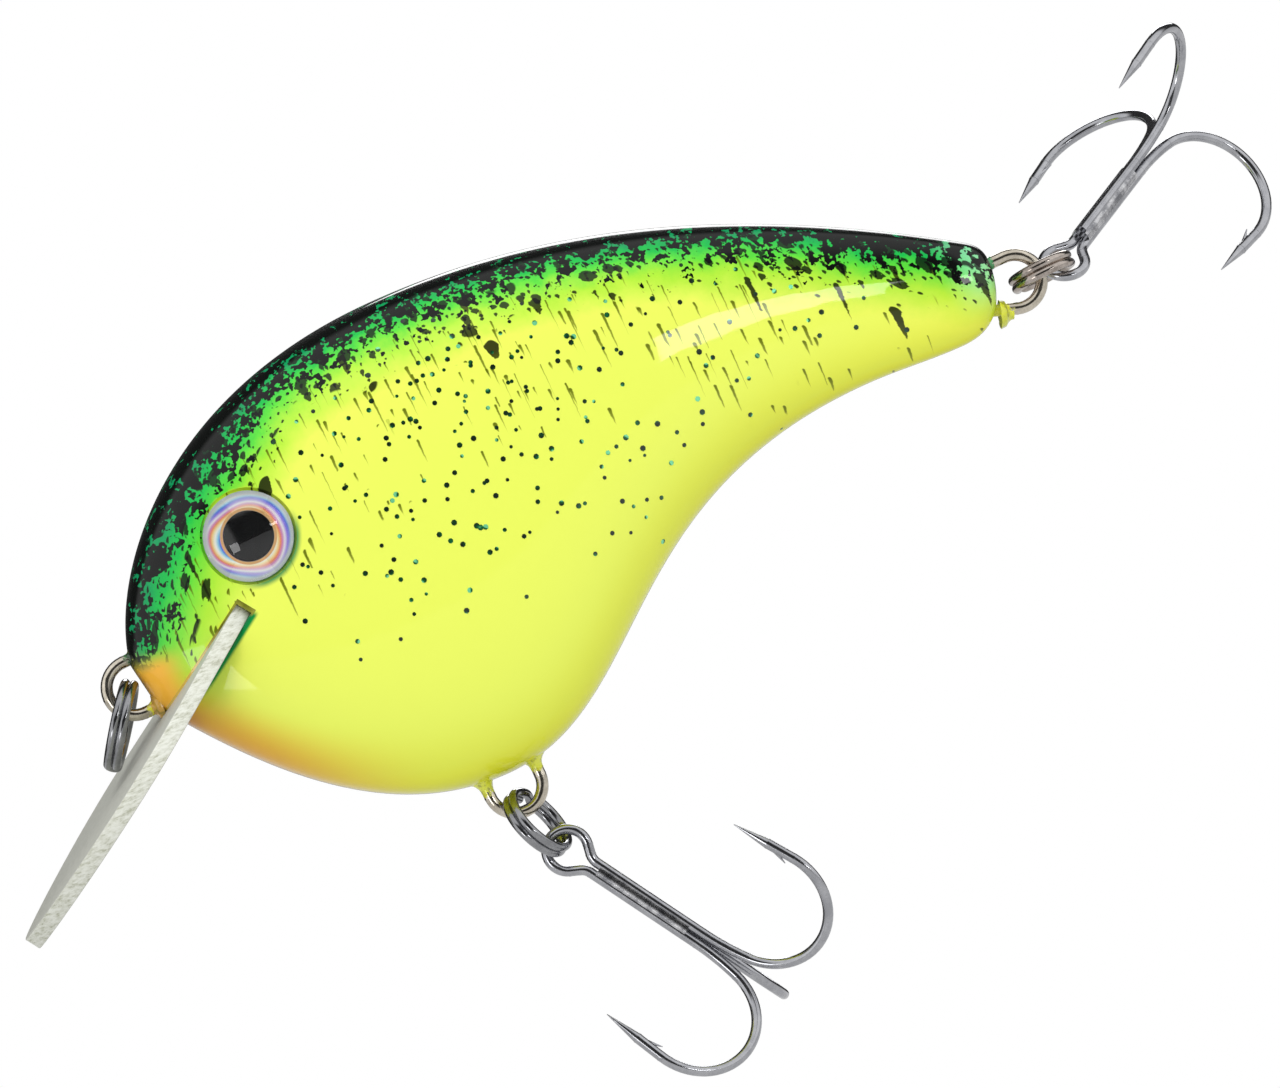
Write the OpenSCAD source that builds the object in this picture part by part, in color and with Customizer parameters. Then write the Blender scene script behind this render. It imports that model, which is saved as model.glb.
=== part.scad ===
// Crankbait fishing lure with a sheet diving lip, a through-wire harness,
// split rings and two treble hooks. Units are millimetres.
// Origin: centre of the wire loop at the nose. +X towards the tail, +Z towards the back.

/* [Body] */
// Height of the highest point of the back above the line through both end loops
back_height = 16.3; // [14:0.1:20]
// Depth of the lowest point of the belly below the line through both end loops
belly_depth = 15.15; // [13:0.05:18]
// Distance of the tail end behind the nose loop
tail_x = 62.3; // [58:0.1:75]
// Greatest half thickness of the body, seen from above
body_half_w = 6.1; // [5:0.1:7.5]
// Half thickness at the root of the tail cap
tail_half_w = 1.95; // [1.6:0.05:2.6]
// Squareness of the cross-section: 2 is an ellipse, larger has flatter sides
section_power = 2.6; // [2.2:0.1:3.4]

/* [Diving lip] */
// Thickness of the lip sheet
lip_t = 1.1; // [0.8:0.05:1.6]
// Length of the lip from its inner end to its tip
lip_len = 25.3; // [22:0.1:28]
// Greatest half width of the lip
lip_half_w = 9.6; // [6:0.1:10]
// Half width of the lip at its inner end
lip_root_half_w = 4.0; // [3:0.1:5]
// Angle of the lip below the line through both end loops
lip_angle = 33.6; // [31:0.1:35]

/* [Eyes] */
// Distance of the eye centre behind the nose loop
eye_x = 10.4; // [9.8:0.1:11.5]
// Height of the eye centre
eye_z = 5.8; // [5.6:0.1:7]
// Diameter of the clear eye dome
eye_d = 5.9; // [4.5:0.1:6]
// Height of the clear dome over its foil disc
eye_dome_h = 1.55; // [1.2:0.05:2]

/* [Wire harness] */
// Diameter of the harness wire
wire_d = 0.8; // [0.7:0.05:0.9]
// Radius of the wire loops, to the middle of the wire
loop_r = 1.78; // [1.7:0.02:1.9]
// Distance of the belly loop behind the nose loop
belly_loop_x = 19.9; // [19.5:0.1:21]
// Gap between the belly and the centre of the belly loop
belly_loop_drop = 0.9; // [0.8:0.05:1.2]
// Gap between the tail end and the centre of the tail loop
tail_loop_gap = 1.0; // [0.9:0.05:1.4]

/* [Split rings] */
// Outside diameter of the line tie split ring
nose_ring_d = 6.1; // [5.8:0.1:6.6]
// Outside diameter of the belly split ring
belly_ring_d = 5.3; // [5.1:0.1:5.7]
// Outside diameter of the tail split ring
tail_ring_d = 4.5; // [4.4:0.1:4.9]
// Diameter of the split ring wire
ring_wire_d = 0.6; // [0.55:0.01:0.62]

/* [Treble hooks] */
// Diameter of the hook wire
hook_wire_d = 0.68; // [0.6:0.01:0.7]
// Radius of the hook bend, to the middle of the wire
hook_bend_r = 4.1; // [3.6:0.1:4.3]
// Length of a treble hook from the end of its eye to the bends
hook_len = 18.9; // [17.5:0.1:19.5]
// Radius of the hook eye, to the middle of the wire
hook_eye_r = 1.37; // [1.3:0.01:1.45]

/* [Hidden] */
$fn = 32;
glue_gap = 0.03;              // glue line around pieces bonded into the wood
slot_gap = 0.15;              // resin line between the lip and its sawn slot

// --- side outline of the body, as cubic curves through named stations ---
nose = [0.4, 1.4];            // foremost point of the body
chin = [1.0, -2.0];           // lower corner of the nose face
hump_x = 24.2;                // station of the highest point of the back
keel_x = 19.9;                // station of the lowest point of the belly
stem_z = -1.94;               // underside of the slim tail stem
stem_x = tail_x - 10.8;       // station where the tail stem is level
heel = [tail_x - 3.8, -2.3];  // lowest point of the tail cap
crown = [tail_x - 1.2, 3.9];  // upper corner of the tail cap
tip = [tail_x, 1.7];          // rearmost point of the body

back_curve = [
  [nose, nose + [0.9, 5.2], [8.8, back_height], [hump_x, back_height]],
  [[hump_x, back_height], [hump_x + 14.2, back_height], crown + [-10.7, 7.05], crown],
  [crown, crown + [0.75, -0.5], tip + [0.05, 1.3], tip]
];
belly_curve = [
  [nose, nose + [0.2, -1.1], chin + [-0.2, 1.0], chin],
  [chin, chin + [3.65, -4.9], [keel_x - 9.2, -belly_depth], [keel_x, -belly_depth]],
  [[keel_x, -belly_depth], [keel_x + 10.25, -belly_depth], [stem_x - 18.25, stem_z], [stem_x, stem_z]],
  [[stem_x, stem_z], [stem_x + 2.6, stem_z], heel + [-2.4, 0], heel],
  [heel, heel + [2.7, 0], tip + [-0.35, -2.2], tip]
];
girth_curve = [
  [[nose.x, 0], [nose.x, 3.0], [10, body_half_w], [22, body_half_w]],
  [[22, body_half_w], [36, body_half_w], [tail_x - 14.3, 2.9], [tail_x - 2.5, tail_half_w]],
  [[tail_x - 2.5, tail_half_w], [tail_x - 0.7, tail_half_w - 0.2], [tail_x, 1.2], [tail_x, 0]]
];
stations = 58;                // cross-sections along the body
ribs = 18;                    // points from back to belly on one side
end_trim = 0.25;              // share of the first station kept off both ends

// --- lip placement ---
lip_root = [8.11, 1.67];      // middle of the inner end of the lip
lip_paddle = 13;              // station of the greatest width of the lip

// --- loops, ballast, eyes ---
wire_r = wire_d / 2;
belly_loop = [belly_loop_x, -belly_depth - belly_loop_drop];
tail_loop = [tail_x + tail_loop_gap, 0.05];
tail_lean = 18;               // slope of the wire where it enters the tail
weight_d = 5;                 // diameter of the lead ballast slug
weight_len = 7;               // length of the ballast slug across the body
weight_at = [12.6, -8.2];     // middle of the ballast slug
eye_turn = 10;                // the eye faces this much towards the nose
eye_seat = body_half_w - 1.95;  // distance of the foil disc from the middle plane
foil_t = 0.12;                // thickness of the foil disc
socket_gap = 0.2;             // space round the eye in its socket

// --- split rings: middle and direction of the axis (tilt from +Z, turn about +Z) ---
nose_ring_at = [-1.80, 0.0, -1.90];
nose_ring_dir = [53.7, 168.9];
belly_ring_at = [belly_loop_x + 0.22, -0.78, belly_loop.y - 2.77];
belly_ring_dir = [71.2, -29.8];
tail_ring_at = [tail_loop.x + 2.0, 0.88, -0.075];
tail_ring_dir = [-6.2, -79.7];
ring_lap = 0.92;              // axial pitch of the two coils over the wire diameter

// --- treble hooks: middle of the eye, and direction of the shank (tilt, turn, spin) ---
belly_hook_at = belly_ring_at + [1.07, 0.38, -2.44];
belly_hook_dir = [148.4, -7.5, 0];
tail_hook_at = tail_ring_at + [1.715, 0.343, 0.127];
tail_hook_dir = [69.6, 37.3, 133.1];

hook_r = hook_wire_d / 2;
hook_space = 0.08;            // space between the three wires in the shank
hook_off = (hook_wire_d + hook_space) / sqrt(3);  // wires to the middle of the shank
eye_neck = 40;                // angle at which the eye closes towards the shank
neck_r = 1.0;                 // bend radius where the eye meets the shank
flare_r = 16;                 // radius of the slight outward sweep of a hook
flare = 12;                   // angle of that sweep
point_lean = 4.8;             // the point leg leans inward by this much
point_leg = 1.9;              // straight part before the taper
point_len = 2.5;              // tapered part up to the point
point_r = 0.03;               // radius left at the very point
barb_len = 1.35;              // length of the barb
barb_rise = 23;               // angle between the barb and the point leg
barb_back = 0.35;             // the barb leaves the leg this far before its taper
eye_out = hook_eye_r + hook_r;                    // eye middle to its outer end
bend_mid = hook_len - eye_out - hook_r - hook_bend_r;    // eye middle to the bend middle
sweep_start = bend_mid - flare_r * sin(flare) + hook_bend_r * sin(flare);
bend_off = hook_off + flare_r * (1 - cos(flare)) + hook_bend_r * cos(flare);
neck_leg = (hook_eye_r * cos(eye_neck) - hook_off * cos(30) - neck_r * (1 - cos(eye_neck)))
  / sin(eye_neck);
neck_end = (hook_eye_r + neck_r) * sin(eye_neck) + neck_leg * cos(eye_neck);
braze_start = neck_end + 0.35;                    // start of the brazed sleeve
braze_end = 9.3;              // end of the brazed sleeve
braze_r = 0.64;               // radius of the brazed sleeve

/* --- curves --- */
function bez(c, t) = pow(1 - t, 3) * c[0] + 3 * t * pow(1 - t, 2) * c[1]
  + 3 * t * t * (1 - t) * c[2] + t * t * t * c[3];
// parameter at which a curve segment reaches station x
function reach(c, x, lo = 0, hi = 1, n = 22) = n == 0 ? (lo + hi) / 2 :
  bez(c, (lo + hi) / 2).x < x ? reach(c, x, (lo + hi) / 2, hi, n - 1)
  : reach(c, x, lo, (lo + hi) / 2, n - 1);
function seg_at(curve, x, i = 0) = (i == len(curve) - 1 || x <= curve[i][3].x) ? i
  : seg_at(curve, x, i + 1);
function height_at(curve, x) = let (c = curve[seg_at(curve, x)]) bez(c, reach(c, x)).y;
function curve_points(c, n) = [for (i = [0 : n]) bez(c, i / n)];

/* --- body --- */
body_len = tip.x - nose.x;
function station_x(i) = nose.x + body_len * (1 - cos(180 * (i + end_trim)
  / (stations + 2 * end_trim))) / 2;
function rib(x, side) = let (
    top = height_at(back_curve, x),
    low = height_at(belly_curve, x),
    half = height_at(girth_curve, x),
    mid = (top + low) / 2,
    rise = (top - low) / 2,
    p = 2 / section_power)
  [for (j = [0 : ribs]) let (a = 90 - 180 * j / ribs)
    [x,
     j == 0 || j == ribs ? 0 : side * half * pow(cos(a), p),
     mid + rise * sign(sin(a)) * pow(abs(sin(a)), p)]];

module body_blank(side) {
  n = ribs + 1;
  pts = [for (i = [0 : stations]) each rib(station_x(i), side)];
  skin = [for (i = [0 : stations - 1], j = [0 : ribs - 1])
    each [[i * n + j, (i + 1) * n + j, i * n + j + 1],
          [(i + 1) * n + j, (i + 1) * n + j + 1, i * n + j + 1]]];
  seam = [for (i = [0 : stations - 1])
    [i * n, i * n + ribs, (i + 1) * n + ribs, (i + 1) * n]];
  nose_cap = [[for (j = [0 : ribs]) j]];
  tail_cap = [[for (j = [ribs : -1 : 0]) stations * n + j]];
  faces = concat(skin, seam, nose_cap, tail_cap);
  if (side > 0)
    polyhedron(points = pts, faces = [for (f = faces) [for (k = [len(f) - 1 : -1 : 0]) f[k]]]);
  else
    polyhedron(points = pts, faces = faces);
}

module in_lip_frame() {
  translate([lip_root.x, 0, lip_root.y])
    rotate([0, -lip_angle, 0])
      rotate([0, 0, 180])
        children();
}

module lip_slot() {
  in_lip_frame()
    translate([-slot_gap * 2, -body_half_w * 2, -lip_t / 2 - slot_gap])
      cube([lip_len, body_half_w * 4, lip_t + 2 * slot_gap]);
}

module eye_frame(side) {
  translate([eye_x, side * eye_seat, eye_z])
    rotate([0, 0, side * eye_turn])
      rotate([-side * 90, 0, 0])
        children();
}

module body_half(side) {
  difference() {
    body_blank(side);
    lip_slot();
    wire_groove();
    translate([weight_at.x, 0, weight_at.y])
      rotate([90, 0, 0])
        cylinder(h = weight_len + 2 * glue_gap, d = weight_d + 2 * glue_gap, center = true);
    eye_frame(side)
      cylinder(h = body_half_w, d = eye_d + 2 * socket_gap);
  }
}

module left_body_half() { color([0.90, 0.97, 0.25]) body_half(-1); }
module right_body_half() { color([0.90, 0.97, 0.25]) body_half(1); }

/* --- diving lip and the resin that holds it --- */
lip_side = [[0, lip_root_half_w], [4, lip_root_half_w + 1.7],
  [lip_paddle - 4, lip_half_w], [lip_paddle, lip_half_w]];
lip_nose = [[lip_paddle, lip_half_w], [lip_paddle + 6, lip_half_w],
  [lip_len, 2.3], [lip_len, 0]];

module lip_outline() {
  half = concat(curve_points(lip_side, 10), [for (i = [1 : 14]) bez(lip_nose, i / 14)]);
  last = len(half) - 1;
  polygon(concat(half, [for (i = [last - 1 : -1 : 0]) [half[i].x, -half[i].y]]));
}

module diving_lip() {
  color([0.85, 0.85, 0.80])
    in_lip_frame()
      translate([0, 0, -lip_t / 2])
        linear_extrude(lip_t)
          lip_outline();
}

resin_len = 3.2;              // length of the resin wedge over the inner end of the lip
resin_half_w = 3.6;           // half width of the resin line
module lip_slot_resin() {
  color([0.45, 0.47, 0.15])
    in_lip_frame()
      difference() {
        translate([-slot_gap * 2, -resin_half_w, -lip_t / 2 - slot_gap])
          cube([resin_len + slot_gap * 2, resin_half_w * 2, lip_t + 2 * slot_gap]);
        translate([0, -lip_half_w, -lip_t / 2])
          cube([lip_len, 2 * lip_half_w, lip_t]);
      }
}

/* --- through-wire harness: one wire bent in the middle plane --- */
nose_run = lip_t / 2 + slot_gap + wire_r + 0.35;   // wire above the middle of the lip
function over_lip(s) = lip_root + s * [-cos(lip_angle), -sin(lip_angle)]
  + nose_run * [-sin(lip_angle), cos(lip_angle)];
wire_points = [
  [3.8, loop_r],
  [-loop_r, loop_r],
  [-loop_r, -loop_r],
  [0.55, -loop_r],
  over_lip(-1.2),
  [belly_loop.x - loop_r, -8.5],
  [belly_loop.x - loop_r, belly_loop.y - loop_r],
  [belly_loop.x + loop_r, belly_loop.y - loop_r],
  [belly_loop.x + loop_r, -6.5],
  [tail_loop.x - 6.0, tail_loop.y + 0.3],
  [tail_loop.x + loop_r, tail_loop.y - loop_r * tan(45 + tail_lean / 2)],
  [tail_loop.x + loop_r, tail_loop.y + loop_r],
  [tail_loop.x - 3.6, tail_loop.y + loop_r]];
wire_bends = [0, loop_r, loop_r, 0.9, 2.5, 2.5, loop_r, loop_r, 3, 3, loop_r, loop_r, 0];

function unit(v) = v / norm(v);
function heading(i) = let (d = wire_points[i + 1] - wire_points[i]) atan2(d.y, d.x);
function wrap(a) = a > 180 ? a - 360 : a < -180 ? a + 360 : a;
function turn(i) = wrap(heading(i) - heading(i - 1));
function setback(i) = wire_bends[i] == 0 ? 0 : wire_bends[i] * tan(abs(turn(i)) / 2);
last = len(wire_points) - 1;
wire_steps = [for (i = [0 : last - 1])
  [norm(wire_points[i + 1] - wire_points[i]) - setback(i) - setback(i + 1),
   wire_bends[i + 1], i + 1 < last ? turn(i + 1) : 0]];

// middle line of the harness, each bend sampled every few degrees
function bend_line(i) = let (
    s = sign(turn(i)),
    d = unit(wire_points[i] - wire_points[i - 1]),
    from = wire_points[i] - d * setback(i),
    mid = from + s * wire_bends[i] * [-d.y, d.x],
    n = ceil(abs(turn(i)) / 15))
  [for (k = [0 : n]) let (a = heading(i - 1) + turn(i) * k / n)
    [mid + s * wire_bends[i] * [sin(a), -cos(a)], a]];
wire_line = concat([[wire_points[0], heading(0)]],
  [for (i = [1 : last - 1]) each bend_line(i)],
  [[wire_points[last], heading(last - 1)]]);

// square groove for the wire, half of it sunk into each body half
module wire_groove() {
  half = wire_r + glue_gap;
  left = [for (q = wire_line) q[0] + half * [-sin(q[1]), cos(q[1])]];
  right = [for (i = [len(wire_line) - 1 : -1 : 0]) let (q = wire_line[i])
    q[0] - half * [-sin(q[1]), cos(q[1])]];
  rotate([90, 0, 0])
    linear_extrude(2 * half, center = true)
      polygon(concat(left, right));
}

/* --- bent wire: steps of [straight length, bend radius, turn to the left] --- */
seam = 0.02;                  // each stretch stops this short of a joint
collar = 0.06;                // half length of the collar over a joint
module joint_collar(r) {
  translate([-collar, 0, 0])
    rotate([0, 90, 0])
      cylinder(h = 2 * collar, r = r + 0.01, $fn = 24);
}
module bend_arc(radius, angle, r) {
  s = sign(angle);
  slack = seam / radius * 180 / PI;
  translate([0, s * radius, 0])
    rotate([0, 0, (s > 0 ? -90 : 90 + angle) + slack])
      rotate_extrude(angle = abs(angle) - 2 * slack, $fn = 96)
        translate([radius, 0])
          circle(r = r, $fn = 24);
}
module bent_wire(steps, r, i = 0) {
  if (i == len(steps)) {
    joint_collar(r);
    children();
  } else {
    st = steps[i];
    s = sign(st[2]);
    if (i > 0) joint_collar(r);
    if (st[0] > 2 * collar)
      translate([seam, 0, 0])
        rotate([0, 90, 0])
          cylinder(h = st[0] - 2 * seam, r = r, $fn = 24);
    translate([st[0], 0, 0]) {
      if (st[2] != 0) {
        if (st[0] > 2 * collar) joint_collar(r);
        bend_arc(st[1], st[2], r);
      }
      translate([st[1] * sin(abs(st[2])), s * st[1] * (1 - cos(st[2])), 0])
        rotate([0, 0, st[2]])
          bent_wire(steps, r, i + 1)
            children();
    }
  }
}
// drawing plane x-y stood upright as the x-z plane
module upright() { rotate([90, 0, 0]) children(); }

module through_wire_harness() {
  color([0.75, 0.74, 0.70])
    upright()
      translate(wire_points[0])
        rotate([0, 0, heading(0)])
          bent_wire(wire_steps, wire_r);
}

module belly_ballast_slug() {
  color([0.35, 0.36, 0.38])
    translate([weight_at.x, 0, weight_at.y])
      rotate([90, 0, 0])
        cylinder(h = weight_len, d = weight_d, center = true);
}

/* --- eyes --- */
module eye_foil(side) {
  color([0.75, 0.80, 0.95])
    eye_frame(side)
      cylinder(h = foil_t, d = eye_d);
}

// the dome is a short drum with a rounded lens on top
eye_rim = 0.55;               // height of the drum below the lens
module eye_dome(side) {
  lens_h = eye_dome_h - eye_rim;
  lens_r = (pow(eye_d / 2, 2) + lens_h * lens_h) / (2 * lens_h);
  color([0.92, 0.95, 1.0])
    eye_frame(side)
      translate([0, 0, foil_t])
        rotate_extrude($fn = 64)
          intersection() {
            translate([0, eye_dome_h - lens_r]) circle(r = lens_r, $fn = 180);
            square([eye_d / 2, eye_dome_h]);
          }
}
module left_eye_foil_disc() { eye_foil(-1); }
module right_eye_foil_disc() { eye_foil(1); }
module left_eye_dome() { eye_dome(-1); }
module right_eye_dome() { eye_dome(1); }

/* --- split rings: two coils of one wire lying on each other --- */
module split_ring(d, at, dir) {
  mid_r = (d - ring_wire_d) / 2;
  translate(at)
    rotate([0, dir[0], dir[1]])
      rotate_extrude($fn = 64)
        for (s = [-1, 1])
          translate([mid_r, s * ring_wire_d * ring_lap / 2])
            circle(d = ring_wire_d, $fn = 24);
}
module line_tie_split_ring() {
  color([0.2, 0.2, 0.22])
    split_ring(nose_ring_d, nose_ring_at, nose_ring_dir);
}
module belly_split_ring() {
  color([0.3, 0.3, 0.32])
    split_ring(belly_ring_d, belly_ring_at, belly_ring_dir);
}
module tail_split_ring() {
  color([0.55, 0.52, 0.5])
    split_ring(tail_ring_d, tail_ring_at, tail_ring_dir);
}

/* --- treble hooks: eye middle at the origin, shank along +Z, eye in the x-z plane --- */
module place_treble(at, dir) {
  translate(at)
    rotate([0, dir[0], dir[1]])
      rotate([0, 0, dir[2]])
        children();
}

// one hook in the x-z plane, its shank at x = hook_off
module hook_leg(from) {
  upright()
    translate([hook_off, from])
      rotate([0, 0, 90])
        bent_wire([[sweep_start - from, flare_r, -flare],
                   [0, hook_bend_r, -(180 + point_lean - flare)],
                   [point_leg, 0, 0]], hook_r) {
          translate([seam, 0, 0])
            rotate([0, 90, 0])
              cylinder(h = point_len, r1 = hook_r, r2 = point_r, $fn = 24);
          // barb, cut back from the inner side of the point
          translate([-barb_back, -hook_r * 0.3, 0])
            rotate([0, 0, 180 + barb_rise])
              rotate([0, 90, 0])
                cylinder(h = barb_len, r1 = hook_r * 0.55, r2 = point_r, $fn = 16);
        }
}

module double_hook() {
  translate([0, -hook_off / 2, 0])
    upright()
      translate([-hook_off * cos(30), neck_end])
        rotate([0, 0, -90])
          bent_wire([[0, neck_r, -eye_neck],
                     [neck_leg, hook_eye_r, 180 + 2 * eye_neck],
                     [neck_leg, neck_r, -eye_neck]], hook_r);
  translate([-hook_off * cos(30), -hook_off / 2, neck_end])
    rotate([0, 90, 0])
      joint_collar(hook_r);
  for (a = [-30, 210])
    rotate([0, 0, a])
      hook_leg(neck_end + seam);
}

module single_hook() {
  rotate([0, 0, 90])
    hook_leg(braze_start + 0.2);
}

module braze() {
  difference() {
    translate([0, 0, braze_start])
      cylinder(h = braze_end - braze_start, r = braze_r);
    for (a = [-30, 90, 210])
      rotate([0, 0, a])
        translate([hook_off, 0, 0])
          cylinder(h = braze_end + 1, r = hook_r, $fn = 24);
  }
}

module belly_treble_double_hook() {
  color([0.30, 0.31, 0.33])
    place_treble(belly_hook_at, belly_hook_dir)
      double_hook();
}
module belly_treble_single_hook() {
  color([0.30, 0.31, 0.33])
    place_treble(belly_hook_at, belly_hook_dir)
      single_hook();
}
module belly_treble_braze() {
  color([0.42, 0.42, 0.43])
    place_treble(belly_hook_at, belly_hook_dir)
      braze();
}
module tail_treble_double_hook() {
  color([0.30, 0.31, 0.33])
    place_treble(tail_hook_at, tail_hook_dir)
      double_hook();
}
module tail_treble_single_hook() {
  color([0.30, 0.31, 0.33])
    place_treble(tail_hook_at, tail_hook_dir)
      single_hook();
}
module tail_treble_braze() {
  color([0.42, 0.42, 0.43])
    place_treble(tail_hook_at, tail_hook_dir)
      braze();
}

left_body_half();
right_body_half();
diving_lip();
lip_slot_resin();
through_wire_harness();
belly_ballast_slug();
left_eye_foil_disc();
right_eye_foil_disc();
left_eye_dome();
right_eye_dome();
line_tie_split_ring();
belly_split_ring();
tail_split_ring();
belly_treble_double_hook();
belly_treble_single_hook();
belly_treble_braze();
tail_treble_double_hook();
tail_treble_single_hook();
tail_treble_braze();
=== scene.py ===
"""Looks of a wooden crankbait lure: paint, flake, eyes, lip sheet, wire, rings and hooks."""

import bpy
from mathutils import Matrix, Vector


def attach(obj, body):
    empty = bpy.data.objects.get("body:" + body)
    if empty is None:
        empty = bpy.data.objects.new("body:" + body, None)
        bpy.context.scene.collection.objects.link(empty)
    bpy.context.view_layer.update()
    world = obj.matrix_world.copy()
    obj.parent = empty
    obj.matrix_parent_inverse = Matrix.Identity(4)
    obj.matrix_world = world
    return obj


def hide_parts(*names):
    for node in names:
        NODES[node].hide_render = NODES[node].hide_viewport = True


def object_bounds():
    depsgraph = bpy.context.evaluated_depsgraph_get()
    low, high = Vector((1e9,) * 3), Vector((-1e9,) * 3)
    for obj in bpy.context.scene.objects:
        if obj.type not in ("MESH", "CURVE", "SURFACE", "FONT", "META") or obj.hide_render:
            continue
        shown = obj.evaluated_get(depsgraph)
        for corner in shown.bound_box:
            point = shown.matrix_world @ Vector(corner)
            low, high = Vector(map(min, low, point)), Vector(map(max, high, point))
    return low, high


bl_info = {
    "name": "Crankbait Lure",
    "version": (1, 0, 0),
    "blender": (4, 5, 0),
    "location": "View3D > Sidebar > Lure",
    "description": "Builds the painted body, flakes, eyes, lip, wire, split rings and hooks of a lure",
    "category": "Add Mesh",
}

import math

import bmesh
import bpy
import numpy as np
from bpy.props import FloatProperty, FloatVectorProperty, IntProperty, PointerProperty
from mathutils import Matrix, Vector

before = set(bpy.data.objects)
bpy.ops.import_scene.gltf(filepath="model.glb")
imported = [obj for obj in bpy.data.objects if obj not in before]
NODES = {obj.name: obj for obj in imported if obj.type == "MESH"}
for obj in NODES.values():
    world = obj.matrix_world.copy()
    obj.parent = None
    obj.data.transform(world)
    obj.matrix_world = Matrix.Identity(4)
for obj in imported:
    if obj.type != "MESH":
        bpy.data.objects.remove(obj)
CAD_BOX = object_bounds()
MM = 0.001

# --- side outline of the body in millimetres, as cubic curves (station, height) ---
BACK = (
    ((0.4, 1.4), (1.3, 6.6), (8.8, 16.3), (24.2, 16.3)),
    ((24.2, 16.3), (38.4, 16.3), (50.4, 10.95), (61.1, 3.9)),
    ((61.1, 3.9), (61.85, 3.4), (62.35, 3.0), (62.3, 1.7)),
)
BELLY = (
    ((0.4, 1.4), (0.6, 0.3), (0.8, -1.0), (1.0, -2.0)),
    ((1.0, -2.0), (4.65, -6.9), (10.7, -15.15), (19.9, -15.15)),
    ((19.9, -15.15), (30.15, -15.15), (33.25, -1.94), (51.5, -1.94)),
    ((51.5, -1.94), (54.1, -1.94), (56.1, -2.3), (58.5, -2.3)),
    ((58.5, -2.3), (61.2, -2.3), (61.95, -0.5), (62.3, 1.7)),
)
GIRTH = (
    ((0.4, 0.0), (0.4, 3.0), (10.0, 6.1), (22.0, 6.1)),
    ((22.0, 6.1), (36.0, 6.1), (48.0, 2.9), (59.8, 1.95)),
    ((59.8, 1.95), (61.6, 1.75), (62.3, 1.2), (62.3, 0.0)),
)
SECTION_POWER = 2.6
BODY_SPAN = (0.4, 62.3)

# --- lip, eyes and rings: the places of the CAD pieces, in millimetres ---
LIP_ROOT = Vector((8.11, 0.0, 1.67))
LIP_ANGLE = math.radians(33.6)
LIP_T = 1.1
SLOT_HALF = 0.7
EYE_AT = (10.4, 4.15, 5.8)
EYE_TURN = math.radians(10)
EYE_R = 2.95
SOCKET_R = 3.15
FOIL_T = 0.12      # the eye's layers, from the foil disc up
DOME_LIFT = 0.015
DOME_RIM = 0.55
DOME_LENS = 1.0
RINGS = {
    "line_tie_split_ring": ("line_ring", 6.1, (-1.80, 0.0, -1.90), (53.7, 168.9), 20),
    "belly_split_ring": ("belly_ring", 5.3, (20.12, -0.78, -18.82), (71.2, -29.8), 150),
    "tail_split_ring": ("tail_ring", 4.5, (65.3, 0.88, -0.075), (-6.2, -79.7), 240),
}
RING_WIRE = 0.6
RING_PITCH = 0.552


def linear(r, g, b):
    """A colour given as it looks on screen, 0 to 255, as the shader's linear values."""
    out = []
    for c in (r, g, b):
        c /= 255
        out.append(c / 12.92 if c <= 0.04045 else ((c + 0.055) / 1.055) ** 2.4)
    return (*out, 1.0)


# ---------------------------------------------------------------- settings


class PaintSettings(bpy.types.PropertyGroup):
    flank: FloatVectorProperty(
        name="Flank", description="Colour of the flanks", subtype="COLOR", size=4,
        min=0, max=1, default=linear(234, 247, 97))
    belly: FloatVectorProperty(
        name="Belly", description="Colour under the belly", subtype="COLOR", size=4,
        min=0, max=1, default=linear(236, 238, 44))
    throat: FloatVectorProperty(
        name="Throat", description="Blush on the throat", subtype="COLOR", size=4,
        min=0, max=1, default=linear(240, 158, 52))
    back: FloatVectorProperty(
        name="Back", description="Colour along the back", subtype="COLOR", size=4,
        min=0, max=1, default=linear(0, 138, 84))
    splatter: FloatVectorProperty(
        name="Splatter", description="Colour of the dark splatter", subtype="COLOR", size=4,
        min=0, max=1, default=linear(7, 10, 8))
    band: FloatProperty(
        name="Green band", description="Depth of the green band below the back",
        default=5.2 * MM, min=2 * MM, max=9 * MM, unit="LENGTH", precision=5)


class FlakeSettings(bpy.types.PropertyGroup):
    size: FloatProperty(
        name="Flake size", description="Width of one flake",
        default=0.36 * MM, min=0.1 * MM, max=1 * MM, unit="LENGTH", precision=5)
    density: FloatProperty(
        name="Density", description="Flakes to a square metre where they lie thickest",
        default=520000, min=0, max=3000000)
    seed: IntProperty(name="Seed", description="Seed of the scatter", default=11, min=0)


class RingSettings(bpy.types.PropertyGroup):
    wire: FloatProperty(
        name="Ring wire", description="Diameter of the split ring wire",
        default=RING_WIRE * MM, min=0.2 * MM, max=1 * MM, unit="LENGTH", precision=5)
    pitch: FloatProperty(
        name="Coil pitch", description="Distance between the two coils",
        default=RING_PITCH * MM, min=0.2 * MM, max=1 * MM, unit="LENGTH", precision=5)
    opening: FloatProperty(
        name="Opening", description="Arc in which the wire steps from coil to coil",
        default=math.radians(32), min=math.radians(10), max=math.radians(60), subtype="ANGLE")


class StageSettings(bpy.types.PropertyGroup):
    distance: FloatProperty(
        name="Camera distance", description="Distance of the camera from the lure",
        default=3.0, min=0.1, max=6, unit="LENGTH")
    floor_drop: FloatProperty(
        name="Floor drop", description="Height of the lure over the floor",
        default=0.09, min=0.0, max=1, unit="LENGTH")
    key_power: FloatProperty(
        name="Key light", description="Power of the main soft light",
        default=1.2, min=0, max=100, subtype="POWER")


# ---------------------------------------------------------------- node helpers


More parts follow.
